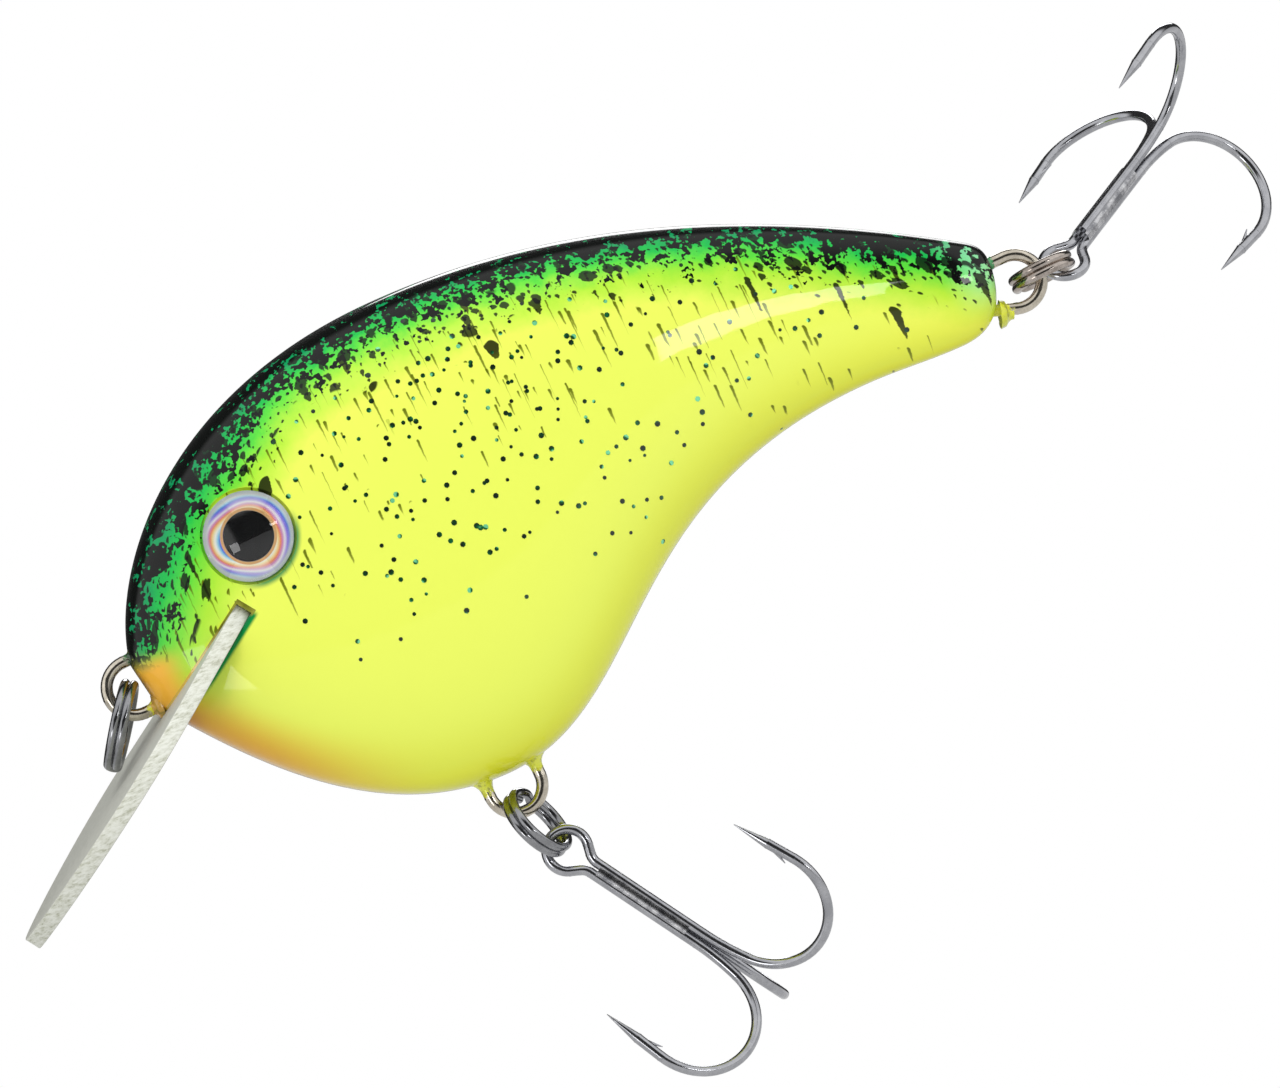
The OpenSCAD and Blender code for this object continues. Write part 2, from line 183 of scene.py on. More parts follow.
class Shade:
    """Short calls for wiring a node tree. Every call gives back an output socket."""

    def __init__(self, tree):
        self.tree = tree

    def put(self, kind, **values):
        made = self.tree.nodes.new(kind)
        for name, value in values.items():
            setattr(made, name, value)
        return made

    def feed(self, socket, value):
        if isinstance(value, bpy.types.NodeSocket):
            self.tree.links.new(value, socket)
        elif value is not None:
            socket.default_value = value

    def math(self, op, a, b=None, c=None, clamp=False):
        n = self.put("ShaderNodeMath", operation=op, use_clamp=clamp)
        for s, v in zip(n.inputs, (a, b, c)):
            self.feed(s, v)
        return n.outputs[0]

    def vec(self, op, a, b=None):
        n = self.put("ShaderNodeVectorMath", operation=op)
        if op == "SCALE":
            self.feed(n.inputs[0], a)
            self.feed(n.inputs["Scale"], b)
        else:
            self.feed(n.inputs[0], a)
            self.feed(n.inputs[1], b)
        return n.outputs["Value"] if op in ("LENGTH", "DISTANCE", "DOT_PRODUCT") else n.outputs[0]

    def smooth(self, value, lo, hi, low=0.0, high=1.0):
        n = self.put("ShaderNodeMapRange", interpolation_type="SMOOTHSTEP")
        for s, v in zip(n.inputs, (value, lo, hi, low, high)):
            self.feed(s, v)
        return n.outputs[0]

    def span(self, value, lo, hi, low=0.0, high=1.0):
        n = self.put("ShaderNodeMapRange", clamp=True)
        for s, v in zip(n.inputs, (value, lo, hi, low, high)):
            self.feed(s, v)
        return n.outputs[0]

    def mix(self, fac, a, b, blend="MIX"):
        n = self.put("ShaderNodeMix", data_type="RGBA", blend_type=blend, clamp_factor=True)
        self.feed(n.inputs[0], fac)
        self.feed(n.inputs[6], a)
        self.feed(n.inputs[7], b)
        return n.outputs[2]

    def noise(self, where, scale, detail=2.0, rough=0.5, warp=0.0):
        n = self.put("ShaderNodeTexNoise")
        self.feed(n.inputs["Vector"], where)
        self.feed(n.inputs["Scale"], scale)
        self.feed(n.inputs["Detail"], detail)
        self.feed(n.inputs["Roughness"], rough)
        self.feed(n.inputs["Distortion"], warp)
        return n.outputs["Fac"]

    def stretch(self, where, scale, turn=(0.0, 0.0, 0.0), place=(0.0, 0.0, 0.0)):
        n = self.put("ShaderNodeMapping")
        self.feed(n.inputs["Vector"], where)
        self.feed(n.inputs["Scale"], scale)
        self.feed(n.inputs["Rotation"], turn)
        self.feed(n.inputs["Location"], place)
        return n.outputs[0]

    def ramp(self, fac, *stops):
        n = self.put("ShaderNodeValToRGB")
        self.feed(n.inputs[0], fac)
        ramp = n.color_ramp
        while len(ramp.elements) < len(stops):
            ramp.elements.new(0.5)
        for e, (pos, col) in zip(ramp.elements, stops):
            e.position = pos
            e.color = col
        return n.outputs[0]

    def split(self, where):
        n = self.put("ShaderNodeSeparateXYZ")
        self.feed(n.inputs[0], where)
        return n.outputs

    def own(self, name):
        return self.put("ShaderNodeAttribute", attribute_name=name).outputs["Fac"]

    def place_mm(self):
        """Object coordinates in millimetres."""
        return self.vec("SCALE", self.put("ShaderNodeTexCoord").outputs["Object"], 1000.0)

    def group(self, name, **values):
        n = self.put("ShaderNodeGroup", node_tree=bpy.data.node_groups[name])
        for key, value in values.items():
            self.feed(n.inputs[key.replace("_", " ").title()], value)
        return n.outputs

    def bump(self, height, strength, distance):
        n = self.put("ShaderNodeBump")
        self.feed(n.inputs["Height"], height)
        self.feed(n.inputs["Strength"], strength)
        self.feed(n.inputs["Distance"], distance)
        return n.outputs[0]


def new_finish(name):
    """A material with one Principled surface, ready to wire."""
    mat = bpy.data.materials.new(name)
    mat.use_nodes = True
    mat.node_tree.nodes.clear()
    s = Shade(mat.node_tree)
    skin = s.put("ShaderNodeBsdfPrincipled")
    out = s.put("ShaderNodeOutputMaterial")
    mat.node_tree.links.new(skin.outputs[0], out.inputs[0])
    return mat, s, skin


def new_effect(name, inputs, outputs):
    """A shader node group with named inputs and outputs."""
    tree = bpy.data.node_groups.new(name, "ShaderNodeTree")
    for label, kind, value in inputs:
        sock = tree.interface.new_socket(label, in_out="INPUT", socket_type=kind)
        if value is not None:
            sock.default_value = value
    for label, kind in outputs:
        tree.interface.new_socket(label, in_out="OUTPUT", socket_type=kind)
    s = Shade(tree)
    return s, s.put("NodeGroupInput").outputs, s.put("NodeGroupOutput").inputs


def build_effects():
    """Effects that several finishes share."""
    # thrown paint: ragged blots that thin out as Cover falls
    s, i, o = new_effect(
        "Splatter",
        [("Vector", "NodeSocketVector", None), ("Cover", "NodeSocketFloat", 0.5),
         ("Scale", "NodeSocketFloat", 1.0)],
        [("Mask", "NodeSocketFloat")])
    big = s.noise(i["Vector"], s.math("MULTIPLY", i["Scale"], 0.62), 2.0, 0.5, 0.3)
    small = s.noise(i["Vector"], s.math("MULTIPLY", i["Scale"], 2.1), 1.5, 0.5, 0.1)
    both = s.math("ADD", s.math("MULTIPLY", big, 0.55), s.math("MULTIPLY", small, 0.45))
    edge = s.span(i["Cover"], 0.0, 1.0, 0.66, 0.40)
    s.feed(o["Mask"], s.smooth(both, s.math("SUBTRACT", edge, 0.012), s.math("ADD", edge, 0.012)))

    # running drops: a round head and a tail that thins out downwards, one to a cell
    s, i, o = new_effect(
        "Drops",
        [("Vector", "NodeSocketVector", None), ("Cell Width", "NodeSocketFloat", 1.0),
         ("Cell Height", "NodeSocketFloat", 2.0), ("Width", "NodeSocketFloat", 0.3),
         ("Run", "NodeSocketFloat", 1.0), ("Chance", "NodeSocketFloat", 0.5),
         ("Wobble", "NodeSocketFloat", 0.2)],
        [("Mask", "NodeSocketFloat"), ("Tail", "NodeSocketFloat")])
    cells = s.put("ShaderNodeCombineXYZ")
    s.feed(cells.inputs[0], i["Cell Width"])
    s.feed(cells.inputs[1], i["Cell Height"])
    cells.inputs[2].default_value = 1.0
    at = s.vec("DIVIDE", i["Vector"], cells.outputs[0])
    spots = s.put("ShaderNodeTexVoronoi", voronoi_dimensions="2D", feature="F1")
    s.feed(spots.inputs["Vector"], at)
    spots.inputs["Scale"].default_value = 1.0
    spots.inputs["Randomness"].default_value = 0.85
    off = s.vec("MULTIPLY", s.vec("SUBTRACT", at, spots.outputs["Position"]), cells.outputs[0])
    dx, dy, _ = s.split(off)
    pick, broad, long = s.split(spots.outputs["Color"])
    ragged = s.math("SUBTRACT", s.noise(i["Vector"], 2.4, 2.0, 0.6), 0.5)
    ragged = s.math("MULTIPLY", ragged, i["Wobble"])
    dx = s.math("ADD", dx, ragged)
    width = s.math("MULTIPLY", i["Width"], s.span(broad, 0.0, 1.0, 0.35, 1.0))
    run = s.math("MULTIPLY", i["Run"], s.span(long, 0.0, 1.0, 0.15, 1.0))
    tail = s.math("DIVIDE", s.math("MAXIMUM", dy, 0.0), run, clamp=True)
    width = s.math("MULTIPLY", width, s.math("POWER", s.math("SUBTRACT", 1.0, tail), 0.75))
    head = s.math("MINIMUM", dy, 0.0)
    reach = s.math("SQRT", s.math("ADD", s.math("MULTIPLY", dx, dx), s.math("MULTIPLY", head, head)))
    inside = s.smooth(s.math("SUBTRACT", width, reach), 0.0, 0.07)
    chosen = s.smooth(s.math("SUBTRACT", i["Chance"], pick), 0.0, 0.03)
    s.feed(o["Mask"], s.math("MULTIPLY", inside, chosen))
    s.feed(o["Tail"], tail)

    # handled metal: faint blotches and fine pits
    s, i, o = new_effect(
        "Handled Metal",
        [("Vector", "NodeSocketVector", None), ("Scale", "NodeSocketFloat", 1.0),
         ("Wear", "NodeSocketFloat", 0.4)],
        [("Tone", "NodeSocketFloat"), ("Roughness", "NodeSocketFloat"),
         ("Height", "NodeSocketFloat")])
    blot = s.noise(i["Vector"], s.math("MULTIPLY", i["Scale"], 0.9), 4.0, 0.6)
    fine = s.noise(i["Vector"], s.math("MULTIPLY", i["Scale"], 9.0), 3.0, 0.65)
    tone = s.math("ADD", s.math("MULTIPLY", blot, 0.65), s.math("MULTIPLY", fine, 0.35))
    tone = s.smooth(tone, 0.36, 0.66)
    s.feed(o["Tone"], s.math("MULTIPLY", tone, i["Wear"]))
    s.feed(o["Roughness"], s.span(fine, 0.3, 0.7, 0.09, 0.17))
    s.feed(o["Height"], fine)

    # lacquer: the slow waves of a thick clear coat
    s, i, o = new_effect(
        "Lacquer Waves",
        [("Vector", "NodeSocketVector", None)],
        [("Height", "NodeSocketFloat")])
    s.feed(o["Height"], s.noise(i["Vector"], 0.35, 1.0, 0.4))


# ---------------------------------------------------------------- finishes


def lip_axes(s, where):
    """Along, across and through the lip sheet, in millimetres."""
    off = s.vec("SUBTRACT", where, tuple(LIP_ROOT))
    along = s.vec("DOT_PRODUCT", off, (-math.cos(LIP_ANGLE), 0, -math.sin(LIP_ANGLE)))
    through = s.vec("DOT_PRODUCT", off, (-math.sin(LIP_ANGLE), 0, math.cos(LIP_ANGLE)))
    return along, through


def paint_finish(c):
    mat, s, skin = new_finish("Lacquered lure paint")
    where = s.place_mm()
    x, y, z = s.split(where)
    depth = s.own("back_depth")
    rise = s.own("belly_rise")
    under = s.own("underside")
    # the green band is deeper over the head
    widen = s.math("ADD", s.span(x, 5.0, 16.5, 2.3, 1.0), s.span(x, 40.0, 56.0, 0.0, 0.2))
    cloud = s.math("MULTIPLY", s.math("SUBTRACT", s.noise(where, 0.5, 4.0, 0.62), 0.5), 2.2)
    level = s.math("DIVIDE", s.math("ADD", depth, cloud), s.math("MULTIPLY", widen, c.band / MM))
    band = s.ramp(
        s.math("MULTIPLY", level, 0.5, clamp=True),
        (0.0, tuple(c.back)), (0.07, linear(0, 150, 84)), (0.14, linear(16, 186, 70)),
        (0.22, linear(92, 216, 58)), (0.33, linear(176, 232, 62)), (0.53, tuple(c.flank)))
    colour = band
    # belly: deeper yellow paint low down and underneath, then painted shade that darkens it to olive
    # where the skin faces down
    low = s.math("MULTIPLY", s.smooth(rise, 5.0, 0.0), 0.5)
    low = s.math("MAXIMUM", low, s.smooth(under, 0.3, 1.0))
    colour = s.mix(low, colour, tuple(c.belly))
    # painted shade: olive where the skin faces down
    colour = s.mix(s.smooth(under, 0.7, 1.0, 0.0, 0.4), colour, linear(206, 212, 40))
    # throat blush, browner beside the slot
    throat = s.math("MULTIPLY", s.smooth(rise, 4.6, 0.2), s.smooth(x, 16.0, 4.5, 0.0, 0.8))
    throat = s.math("MULTIPLY", throat, s.smooth(z, -0.5, -2.6))
    colour = s.mix(throat, colour, tuple(c.throat))
    along, through = lip_axes(s, where)
    near = s.math("MULTIPLY", s.smooth(along, 6.4, 8.6), s.smooth(through, -2.6, -0.9))
    near = s.math("MULTIPLY", near, s.smooth(through, 0.2, -0.2))
    colour = s.mix(near, colour, linear(188, 118, 52))
    # nose tip
    tip = s.math("MULTIPLY", s.smooth(x, 3.9, 1.6), s.smooth(z, 1.9, 0.3))
    tip = s.math("MULTIPLY", tip, s.smooth(through, 0.0, 0.5))
    colour = s.mix(tip, colour, linear(246, 184, 62))
    # pale mint on the end of the tail: a painted sheen
    mint_sheen = s.math("MULTIPLY", s.smooth(x, 58.4, 61.6), s.smooth(z, -1.6, 1.6))
    colour = s.mix(s.math("MULTIPLY", mint_sheen, 0.7), colour, linear(150, 236, 176))
    # green that crept along the lower edge of the slot
    creep = s.math("MULTIPLY", s.smooth(through, -1.05, -0.8), s.smooth(along, 6.4, 4.8))
    creep = s.math("MULTIPLY", creep, s.smooth(along, -0.35, 0.1))
    creep = s.math("MULTIPLY", creep, s.smooth(through, 0.6, 0.3))
    colour = s.mix(creep, colour, linear(0, 140, 62))
    # painted shade: a teal ring darkening the paint round the lower rim of the eye socket
    for side in (-1, 1):
        centre = (EYE_AT[0] - 0.25, side * (EYE_AT[1] + 1.35), EYE_AT[2])
        reach = s.vec("DISTANCE", where, centre)
        ring = s.math("MULTIPLY", s.smooth(reach, 3.62, 3.2), s.smooth(z, 6.6, 4.6))
        ring = s.math("MULTIPLY", ring, s.smooth(x, 8.2, 10.2))
        colour = s.mix(s.math("MULTIPLY", ring, 0.9), colour, linear(0, 134, 84))
    # thrown black paint: hairs, runs, drops and blots, thickest on the ridge of the back
    skin_at = s.put("ShaderNodeCombineXYZ")
    other = s.math("MULTIPLY", s.math("GREATER_THAN", y, 0.0), 71.0)
    s.feed(skin_at.inputs[0], s.math("ADD", x, other))
    s.feed(skin_at.inputs[1], s.own("skin_run"))
    skin_at = skin_at.outputs[0]
    deep = s.math("DIVIDE", depth, s.math("SQRT", widen))
    patchy = s.span(s.noise(where, 0.16, 2.0), 0.38, 0.6, 0.55, 1.15)
    rear = s.smooth(x, 52.0, 46.0, 0.35, 1.0)
    # none lands on the nose tip or under the slot
    clean = s.math("MAXIMUM", s.smooth(x, 10.5, 13.0), s.smooth(through, -0.2, 0.2))
    clean = s.math("MULTIPLY", clean, s.math("SUBTRACT", 1.0, tip))
    patchy = s.math("MULTIPLY", patchy, clean)
    hair_zone = s.math("MULTIPLY", s.smooth(deep, 2.2, 3.6), s.smooth(deep, 14.0, 8.0))
    hair_zone = s.math("MULTIPLY", s.math("MULTIPLY", hair_zone, patchy), rear)
    for k, (cw, ch, w, run, top) in enumerate(((1.0, 5.2, 0.17, 5.0, 0.9), (0.7, 2.6, 0.18, 2.2, 0.8))):
        hairs = s.group("Drops", vector=s.vec("ADD", skin_at, (13.0 * k, 7.0 * k, 0.0)),
                        cell_width=cw, cell_height=ch, width=w, run=run,
                        chance=s.math("MULTIPLY", hair_zone, top), wobble=0.12)
        faint = s.math("MULTIPLY", hairs["Mask"], s.span(hairs["Tail"], 0.0, 1.0, 0.95, 0.5))
        colour = s.mix(faint, colour, linear(92, 104, 0))
    run_zone = s.math("MULTIPLY", s.smooth(deep, 1.6, 2.8), s.smooth(deep, 8.5, 4.5))
    run_zone = s.math("MULTIPLY", run_zone, patchy)
    runs = s.group("Drops", vector=s.vec("ADD", skin_at, (41.0, 3.0, 0.0)), cell_width=2.9,
                   cell_height=4.4, width=0.62, run=3.6, wobble=0.28,
                   chance=s.math("MULTIPLY", run_zone, 0.85))
    ink = s.mix(s.smooth(runs["Tail"], 0.25, 0.95), linear(24, 30, 10), linear(70, 78, 4))
    colour = s.mix(s.math("MULTIPLY", runs["Mask"], 0.96), colour, ink)
    dark = runs["Mask"]
    drops_zone = s.math("MULTIPLY", s.smooth(deep, 5.6, 1.2), patchy)
    for k, (cw, ch, w, run, top) in enumerate((
            (1.6, 1.9, 0.62, 1.2, 0.9), (0.95, 1.1, 0.36, 0.7, 0.9), (0.52, 0.6, 0.20, 0.36, 0.95))):
        drops = s.group("Drops", vector=s.vec("ADD", skin_at, (5.3 * k, 9.1 * k, 0.0)),
                        cell_width=cw, cell_height=ch, width=w, run=run, wobble=0.3 * w / 0.3,
                        chance=s.math("MULTIPLY", drops_zone, top))["Mask"]
        drops = s.math("MULTIPLY", drops, clean)
        colour = s.mix(s.math("MULTIPLY", drops, 0.93), colour, tuple(c.splatter))
        dark = s.math("MAXIMUM", dark, drops)
    cover = s.ramp(
        s.math("DIVIDE", deep, 10.0, clamp=True),
        (0.0, (0.97,) * 3 + (1,)), (0.07, (0.84,) * 3 + (1,)), (0.16, (0.60,) * 3 + (1,)),
        (0.28, (0.34,) * 3 + (1,)), (0.40, (0.08,) * 3 + (1,)), (0.5, (0.0,) * 3 + (1,)))
    blots = s.group("Splatter", vector=where, cover=cover, scale=1.35)["Mask"]
    blots = s.math("MULTIPLY", blots, s.math("MULTIPLY", s.smooth(deep, 5.2, 4.2), clean))
    colour = s.mix(blots, colour, tuple(c.splatter))
    blots = s.math("MAXIMUM", blots, dark)
    s.feed(skin.inputs["Base Color"], colour)
    skin.inputs["Roughness"].default_value = 0.42
    skin.inputs["IOR"].default_value = 1.5
    skin.inputs["Specular IOR Level"].default_value = 0.05
    skin.inputs["Coat Weight"].default_value = 1.0
    skin.inputs["Coat IOR"].default_value = 1.36
    skin.inputs["Coat Roughness"].default_value = 0.03
    waves = s.group("Lacquer Waves", vector=where)["Height"]
    bumped = s.bump(waves, 0.25, 0.00006)
    s.feed(skin.inputs["Coat Normal"], bumped)
    s.feed(skin.inputs["Normal"], s.bump(blots, 0.25, 0.00003))
    return mat


def metal_finish(name, dark, light, wear, scale=1.0, lift=0.0):
    mat, s, skin = new_finish(name)
    where = s.place_mm()
    worn = s.group("Handled Metal", vector=where, scale=scale, wear=wear)
    s.feed(skin.inputs["Base Color"], s.mix(worn["Tone"], dark, light))
    s.feed(skin.inputs["Roughness"], s.math("ADD", worn["Roughness"], lift))
    skin.inputs["Metallic"].default_value = 1.0
    s.feed(skin.inputs["Normal"], s.bump(worn["Height"], 0.2, 0.000006))
    return mat, s, skin


def harness_finish():
    """Stainless wire with rests of paint where it leaves the wood."""
    mat, s, skin = metal_finish("Stainless wire", linear(192, 184, 168), linear(240, 232, 216), 0.8)
    worn = skin.inputs["Base Color"].links[0].from_socket
    where = s.place_mm()
    x, _, z = s.split(where)
    ragged = s.math("MULTIPLY", s.math("SUBTRACT", s.noise(where, 2.6, 3.0), 0.5), 1.6)
    low = s.math("MULTIPLY", s.smooth(s.math("ADD", z, ragged), -15.9, -15.6), s.smooth(x, 14, 15))
    low = s.math("MULTIPLY", low, s.smooth(x, 31, 30))
    nose = s.math("MULTIPLY", s.smooth(s.math("ADD", x, ragged), 0.1, 0.4), s.smooth(x, 15, 14))
    tail = s.math("MULTIPLY", s.smooth(s.math("ADD", x, ragged), 62.4, 62.1), s.smooth(x, 30, 31))
    mask = s.math("MAXIMUM", s.math("MAXIMUM", low, nose), tail)
    paint = s.mix(s.smooth(z, 0.2, 0.8), linear(214, 214, 60), linear(36, 92, 40))
    s.feed(skin.inputs["Base Color"], s.mix(mask, worn, paint))
    s.feed(skin.inputs["Metallic"], s.math("SUBTRACT", 1.0, mask))
    return mat


def lip_finish():
    """Resin and glass-cloth sheet: matt grey faces, pale fibrous edges."""
    mat, s, skin = new_finish("Lip sheet")
    where = s.place_mm()
    _, through = lip_axes(s, where)
    cloth = s.noise(where, 2.2, 4.0, 0.6)
    weave = s.noise(s.stretch(where, (6.0, 6.0, 6.0)), 1.0, 2.0)
    face = s.mix(s.span(cloth, 0.35, 0.65), linear(176, 177, 168), linear(186, 187, 178))
    fibre_at = s.stretch(where, (1.3, 2.2, 5.0), turn=(0.0, -LIP_ANGLE, 0.0))
    fibre = s.noise(fibre_at, 1.0, 5.0, 0.72)
    edge = s.ramp(fibre, (0.36, linear(176, 178, 158)), (0.45, linear(208, 210, 196)),
                  (0.60, linear(228, 230, 220)))
    depth = s.math("ABSOLUTE", through)
    rim = s.smooth(depth, LIP_T / 2 - 0.015, LIP_T / 2 - 0.04)
    s.feed(skin.inputs["Base Color"], s.mix(rim, face, edge))
    s.feed(skin.inputs["Roughness"], s.span(weave, 0.3, 0.7, 0.42, 0.58))
    s.feed(skin.inputs["Normal"], s.bump(s.mix(rim, weave, fibre), 0.3, 0.00004))
    return mat


def resin_finish():
    mat, s, skin = new_finish("Slot resin")
    where = s.place_mm()
    cloud = s.noise(where, 1.3, 3.0)
    along, through = lip_axes(s, where)
    # olive resin at the inner end of the slot; on the upper side the olive that fades to yellow along
    # the slot is painted shade of the gap between lip and paint
    olive = s.mix(s.span(cloud, 0.35, 0.65), linear(104, 108, 26), linear(150, 150, 46))
    above = s.mix(s.smooth(along, 1.0, 5.5), olive, linear(214, 178, 62))
    below = s.mix(s.smooth(along, 4.5, 7.0), linear(0, 128, 66), linear(196, 128, 56))
    both = s.mix(s.smooth(through, -0.1, 0.1), below, above)
    s.feed(skin.inputs["Base Color"], s.mix(s.smooth(along, 0.3, -0.05), both, olive))
    s.feed(skin.inputs["Roughness"], s.span(cloud, 0.3, 0.7, 0.12, 0.3))
    skin.inputs["Coat Weight"].default_value = 0.6
    return mat


def foil_finish(side):
    """Rainbow foil with a printed pupil and a thin gold ring."""
    mat, s, skin = new_finish(f"Eye foil {'left' if side < 0 else 'right'}")
    where = s.place_mm()
    off = s.vec("SUBTRACT", where, (EYE_AT[0], side * EYE_AT[1], EYE_AT[2]))
    r = s.vec("LENGTH", off)
    x, _, z = s.split(off)
    angle = s.math("ARCTAN2", z, x)
    drift = s.noise(off, 0.22, 0.0)
    swirl = s.math("ADD", s.math("MULTIPLY", r, 0.85), s.math("MULTIPLY", drift, 2.0))
    wave = s.math("SINE", s.math("ADD", s.math("MULTIPLY", angle, 3.0), 1.3))
    swirl = s.math("ADD", swirl, s.math("MULTIPLY", s.math("SINE", s.math("ADD", angle, 0.6)), 0.32))
    swirl = s.math("ADD", swirl, s.math("MULTIPLY", wave, 0.10))
    hue = s.math("FRACT", swirl)
    rainbow = s.ramp(
        hue, (0.0, linear(244, 240, 240)), (0.14, linear(156, 128, 236)),
        (0.27, linear(64, 112, 232)), (0.38, linear(150, 214, 240)),
        (0.52, linear(246, 246, 236)), (0.66, linear(250, 222, 150)),
        (0.78, linear(246, 140, 92)), (0.88, linear(216, 140, 200)), (1.0, linear(244, 240, 240)))
    # painted sheen: two opposite sectors of the foil lightened towards white
    glow = s.smooth(s.math("SINE", s.math("SUBTRACT", s.math("MULTIPLY", angle, 2.0), 0.9)), 0.2, 0.9)
    silver = s.mix(s.math("MULTIPLY", glow, 0.35), rainbow, linear(252, 252, 250))
    silver = s.mix(s.smooth(r, 2.45, 2.75), silver, linear(206, 212, 212))
    gold = s.math("MULTIPLY", s.smooth(r, 1.58, 1.62), s.smooth(r, 1.80, 1.76))
    silver = s.mix(gold, silver, linear(222, 170, 110))
    pupil = s.smooth(r, 1.62, 1.58)
    s.feed(skin.inputs["Base Color"], s.mix(pupil, silver, linear(6, 6, 8)))
    skin.inputs["Specular IOR Level"].default_value = 0.03
    s.feed(skin.inputs["Metallic"], s.math("MULTIPLY", s.math("SUBTRACT", 1.0, pupil), 0.15))
    s.feed(skin.inputs["Roughness"], s.span(glow, 0.0, 1.0, 0.22, 0.4))
    return mat


def dome_finish():
    mat, s, skin = new_finish("Clear eye dome")
    where = s.place_mm()
    skin.inputs["Base Color"].default_value = (0.97, 0.985, 0.98, 1)
    skin.inputs["Transmission Weight"].default_value = 1.0
    skin.inputs["IOR"].default_value = 1.18
    # the gloss is on the outside only, so the pupil stays black
    inside = s.put("ShaderNodeNewGeometry").outputs["Backfacing"]
    s.feed(skin.inputs["Coat Weight"], s.math("SUBTRACT", 1.0, inside))
    skin.inputs["Coat Roughness"].default_value = 0.0
    s.feed(skin.inputs["Roughness"], s.span(s.noise(where, 3.0, 2.0), 0.4, 0.7, 0.0, 0.02))
    s.feed(skin.inputs["Normal"], s.bump(s.group("Lacquer Waves", vector=where)["Height"], 0.1, 0.00003))
    return mat


def lead_finish():
    return metal_finish("Lead slug", linear(92, 95, 100), linear(140, 143, 148), 0.9, lift=0.3)[0]


def flake_finish():
    mat, s, skin = new_finish("Glitter flake")
    where = s.place_mm()
    pick = s.noise(where, 1.7, 0.0)
    # glitter from dark to mid green; the flakes that turn pale mint are painted glints
    colour = s.ramp(pick, (0.38, linear(6, 34, 14)), (0.54, linear(8, 72, 34)),
                    (0.64, linear(16, 116, 62)), (0.69, linear(128, 232, 170)))
    s.feed(skin.inputs["Base Color"], colour)
    skin.inputs["Metallic"].default_value = 0.35
    s.feed(skin.inputs["Roughness"], s.span(pick, 0.3, 0.7, 0.35, 0.2))
    skin.inputs["Coat Weight"].default_value = 1.0
    skin.inputs["Coat Roughness"].default_value = 0.03
    return mat


def collar_finish():
    """Rests of lacquer round the wire, tinted like the wood beside them."""
    mat, s, skin = new_finish("Paint collars")
    where = s.place_mm()
    x, _, z = s.split(where)
    tail = s.mix(s.smooth(z, -0.6, 0.6), linear(216, 222, 40), linear(60, 150, 84))
    nose = s.mix(s.smooth(z, -0.6, 0.6), linear(206, 160, 60), linear(34, 60, 34))
    colour = s.mix(s.smooth(x, 30, 31), s.mix(s.smooth(z, -6, -5), linear(232, 238, 60), nose), tail)
    s.feed(skin.inputs["Base Color"],
           s.mix(s.smooth(s.noise(where, 2.4, 3.0), 0.52, 0.66, 0.0, 0.6), colour, linear(120, 118, 40)))
    s.feed(skin.inputs["Roughness"], s.span(s.noise(where, 4.0, 2.0), 0.3, 0.7, 0.25, 0.45))
    skin.inputs["Coat Weight"].default_value = 1.0
    s.feed(skin.inputs["Normal"], s.bump(s.noise(where, 3.0, 2.0), 0.4, 0.00006))
    return mat


# ---------------------------------------------------------------- shapes


def outline(curves, x):
    """Height of an outline at the given stations."""
    xs, zs = [], []
    for c in curves:
        t = np.linspace(0, 1, 240)[:, None]
        p = np.array(c)
        q = ((1 - t) ** 3 * p[0] + 3 * t * (1 - t) ** 2 * p[1]
             + 3 * t * t * (1 - t) * p[2] + t ** 3 * p[3])
        xs.append(q[:, 0])
        zs.append(q[:, 1])
    xs = np.maximum.accumulate(np.concatenate(xs))
    return np.interp(x, xs, np.concatenate(zs))


def to_object(name, verts, faces, finish, smooth=35):
    """A mesh object from points in millimetres, its normals turned outwards."""
    mesh = bpy.data.meshes.new(name)
    mesh.from_pydata([tuple(float(c) * MM for c in v) for v in verts], [], faces)
    bm = bmesh.new()
    bm.from_mesh(mesh)
    bmesh.ops.recalc_face_normals(bm, faces=bm.faces)
    bm.to_mesh(mesh)
    bm.free()
    obj = bpy.data.objects.new(name, mesh)
    bpy.context.scene.collection.objects.link(obj)
    if finish:
        mesh.materials.append(finish)
    shade(mesh, smooth)
    return obj


def shade(mesh, angle):
    mesh.shade_smooth()
    mesh.set_sharp_from_angle(angle=math.radians(angle))


def settle(obj):
    """Modifiers applied, so that the piece is a plain mesh."""
    bpy.context.view_layer.update()
    done = bpy.data.meshes.new_from_object(
        obj.evaluated_get(bpy.context.evaluated_depsgraph_get()))
    obj.modifiers.clear()
    old = obj.data
    obj.data = done
    done.name = old.name
    bpy.data.meshes.remove(old)
    return obj


def body_blank(stations=230, around=144):
    """The whole painted shape before its slot and sockets are cut."""
    u = (1 - np.cos(np.pi * (np.arange(stations) + 0.22) / (stations - 0.56))) / 2
    x = BODY_SPAN[0] + (BODY_SPAN[1] - BODY_SPAN[0]) * u
    top, low, half = outline(BACK, x), outline(BELLY, x), outline(GIRTH, x)
    a = 2 * np.pi * np.arange(around) / around
    power = 2 / SECTION_POWER
    cy = np.sign(np.cos(a)) * np.abs(np.cos(a)) ** power
    cz = np.sign(np.sin(a)) * np.abs(np.sin(a)) ** power
    verts = []
    for i in range(stations):
        mid, rise = (top[i] + low[i]) / 2, (top[i] - low[i]) / 2
        verts += [(x[i], half[i] * cy[j], mid + rise * cz[j]) for j in range(around)]
    faces = []
    for i in range(stations - 1):
        for j in range(around):
            k = (j + 1) % around
            faces.append((i * around + j, i * around + k, (i + 1) * around + k, (i + 1) * around + j))
    faces.append(tuple(range(around)))
    faces.append(tuple((stations - 1) * around + j for j in range(around)))
    return verts, faces


def on_lip(along, across, through):
    """A point given along, across and through the lip sheet."""
    return LIP_ROOT + Vector((
        -along * math.cos(LIP_ANGLE) - through * math.sin(LIP_ANGLE), -across,
        -along * math.sin(LIP_ANGLE) + through * math.cos(LIP_ANGLE)))


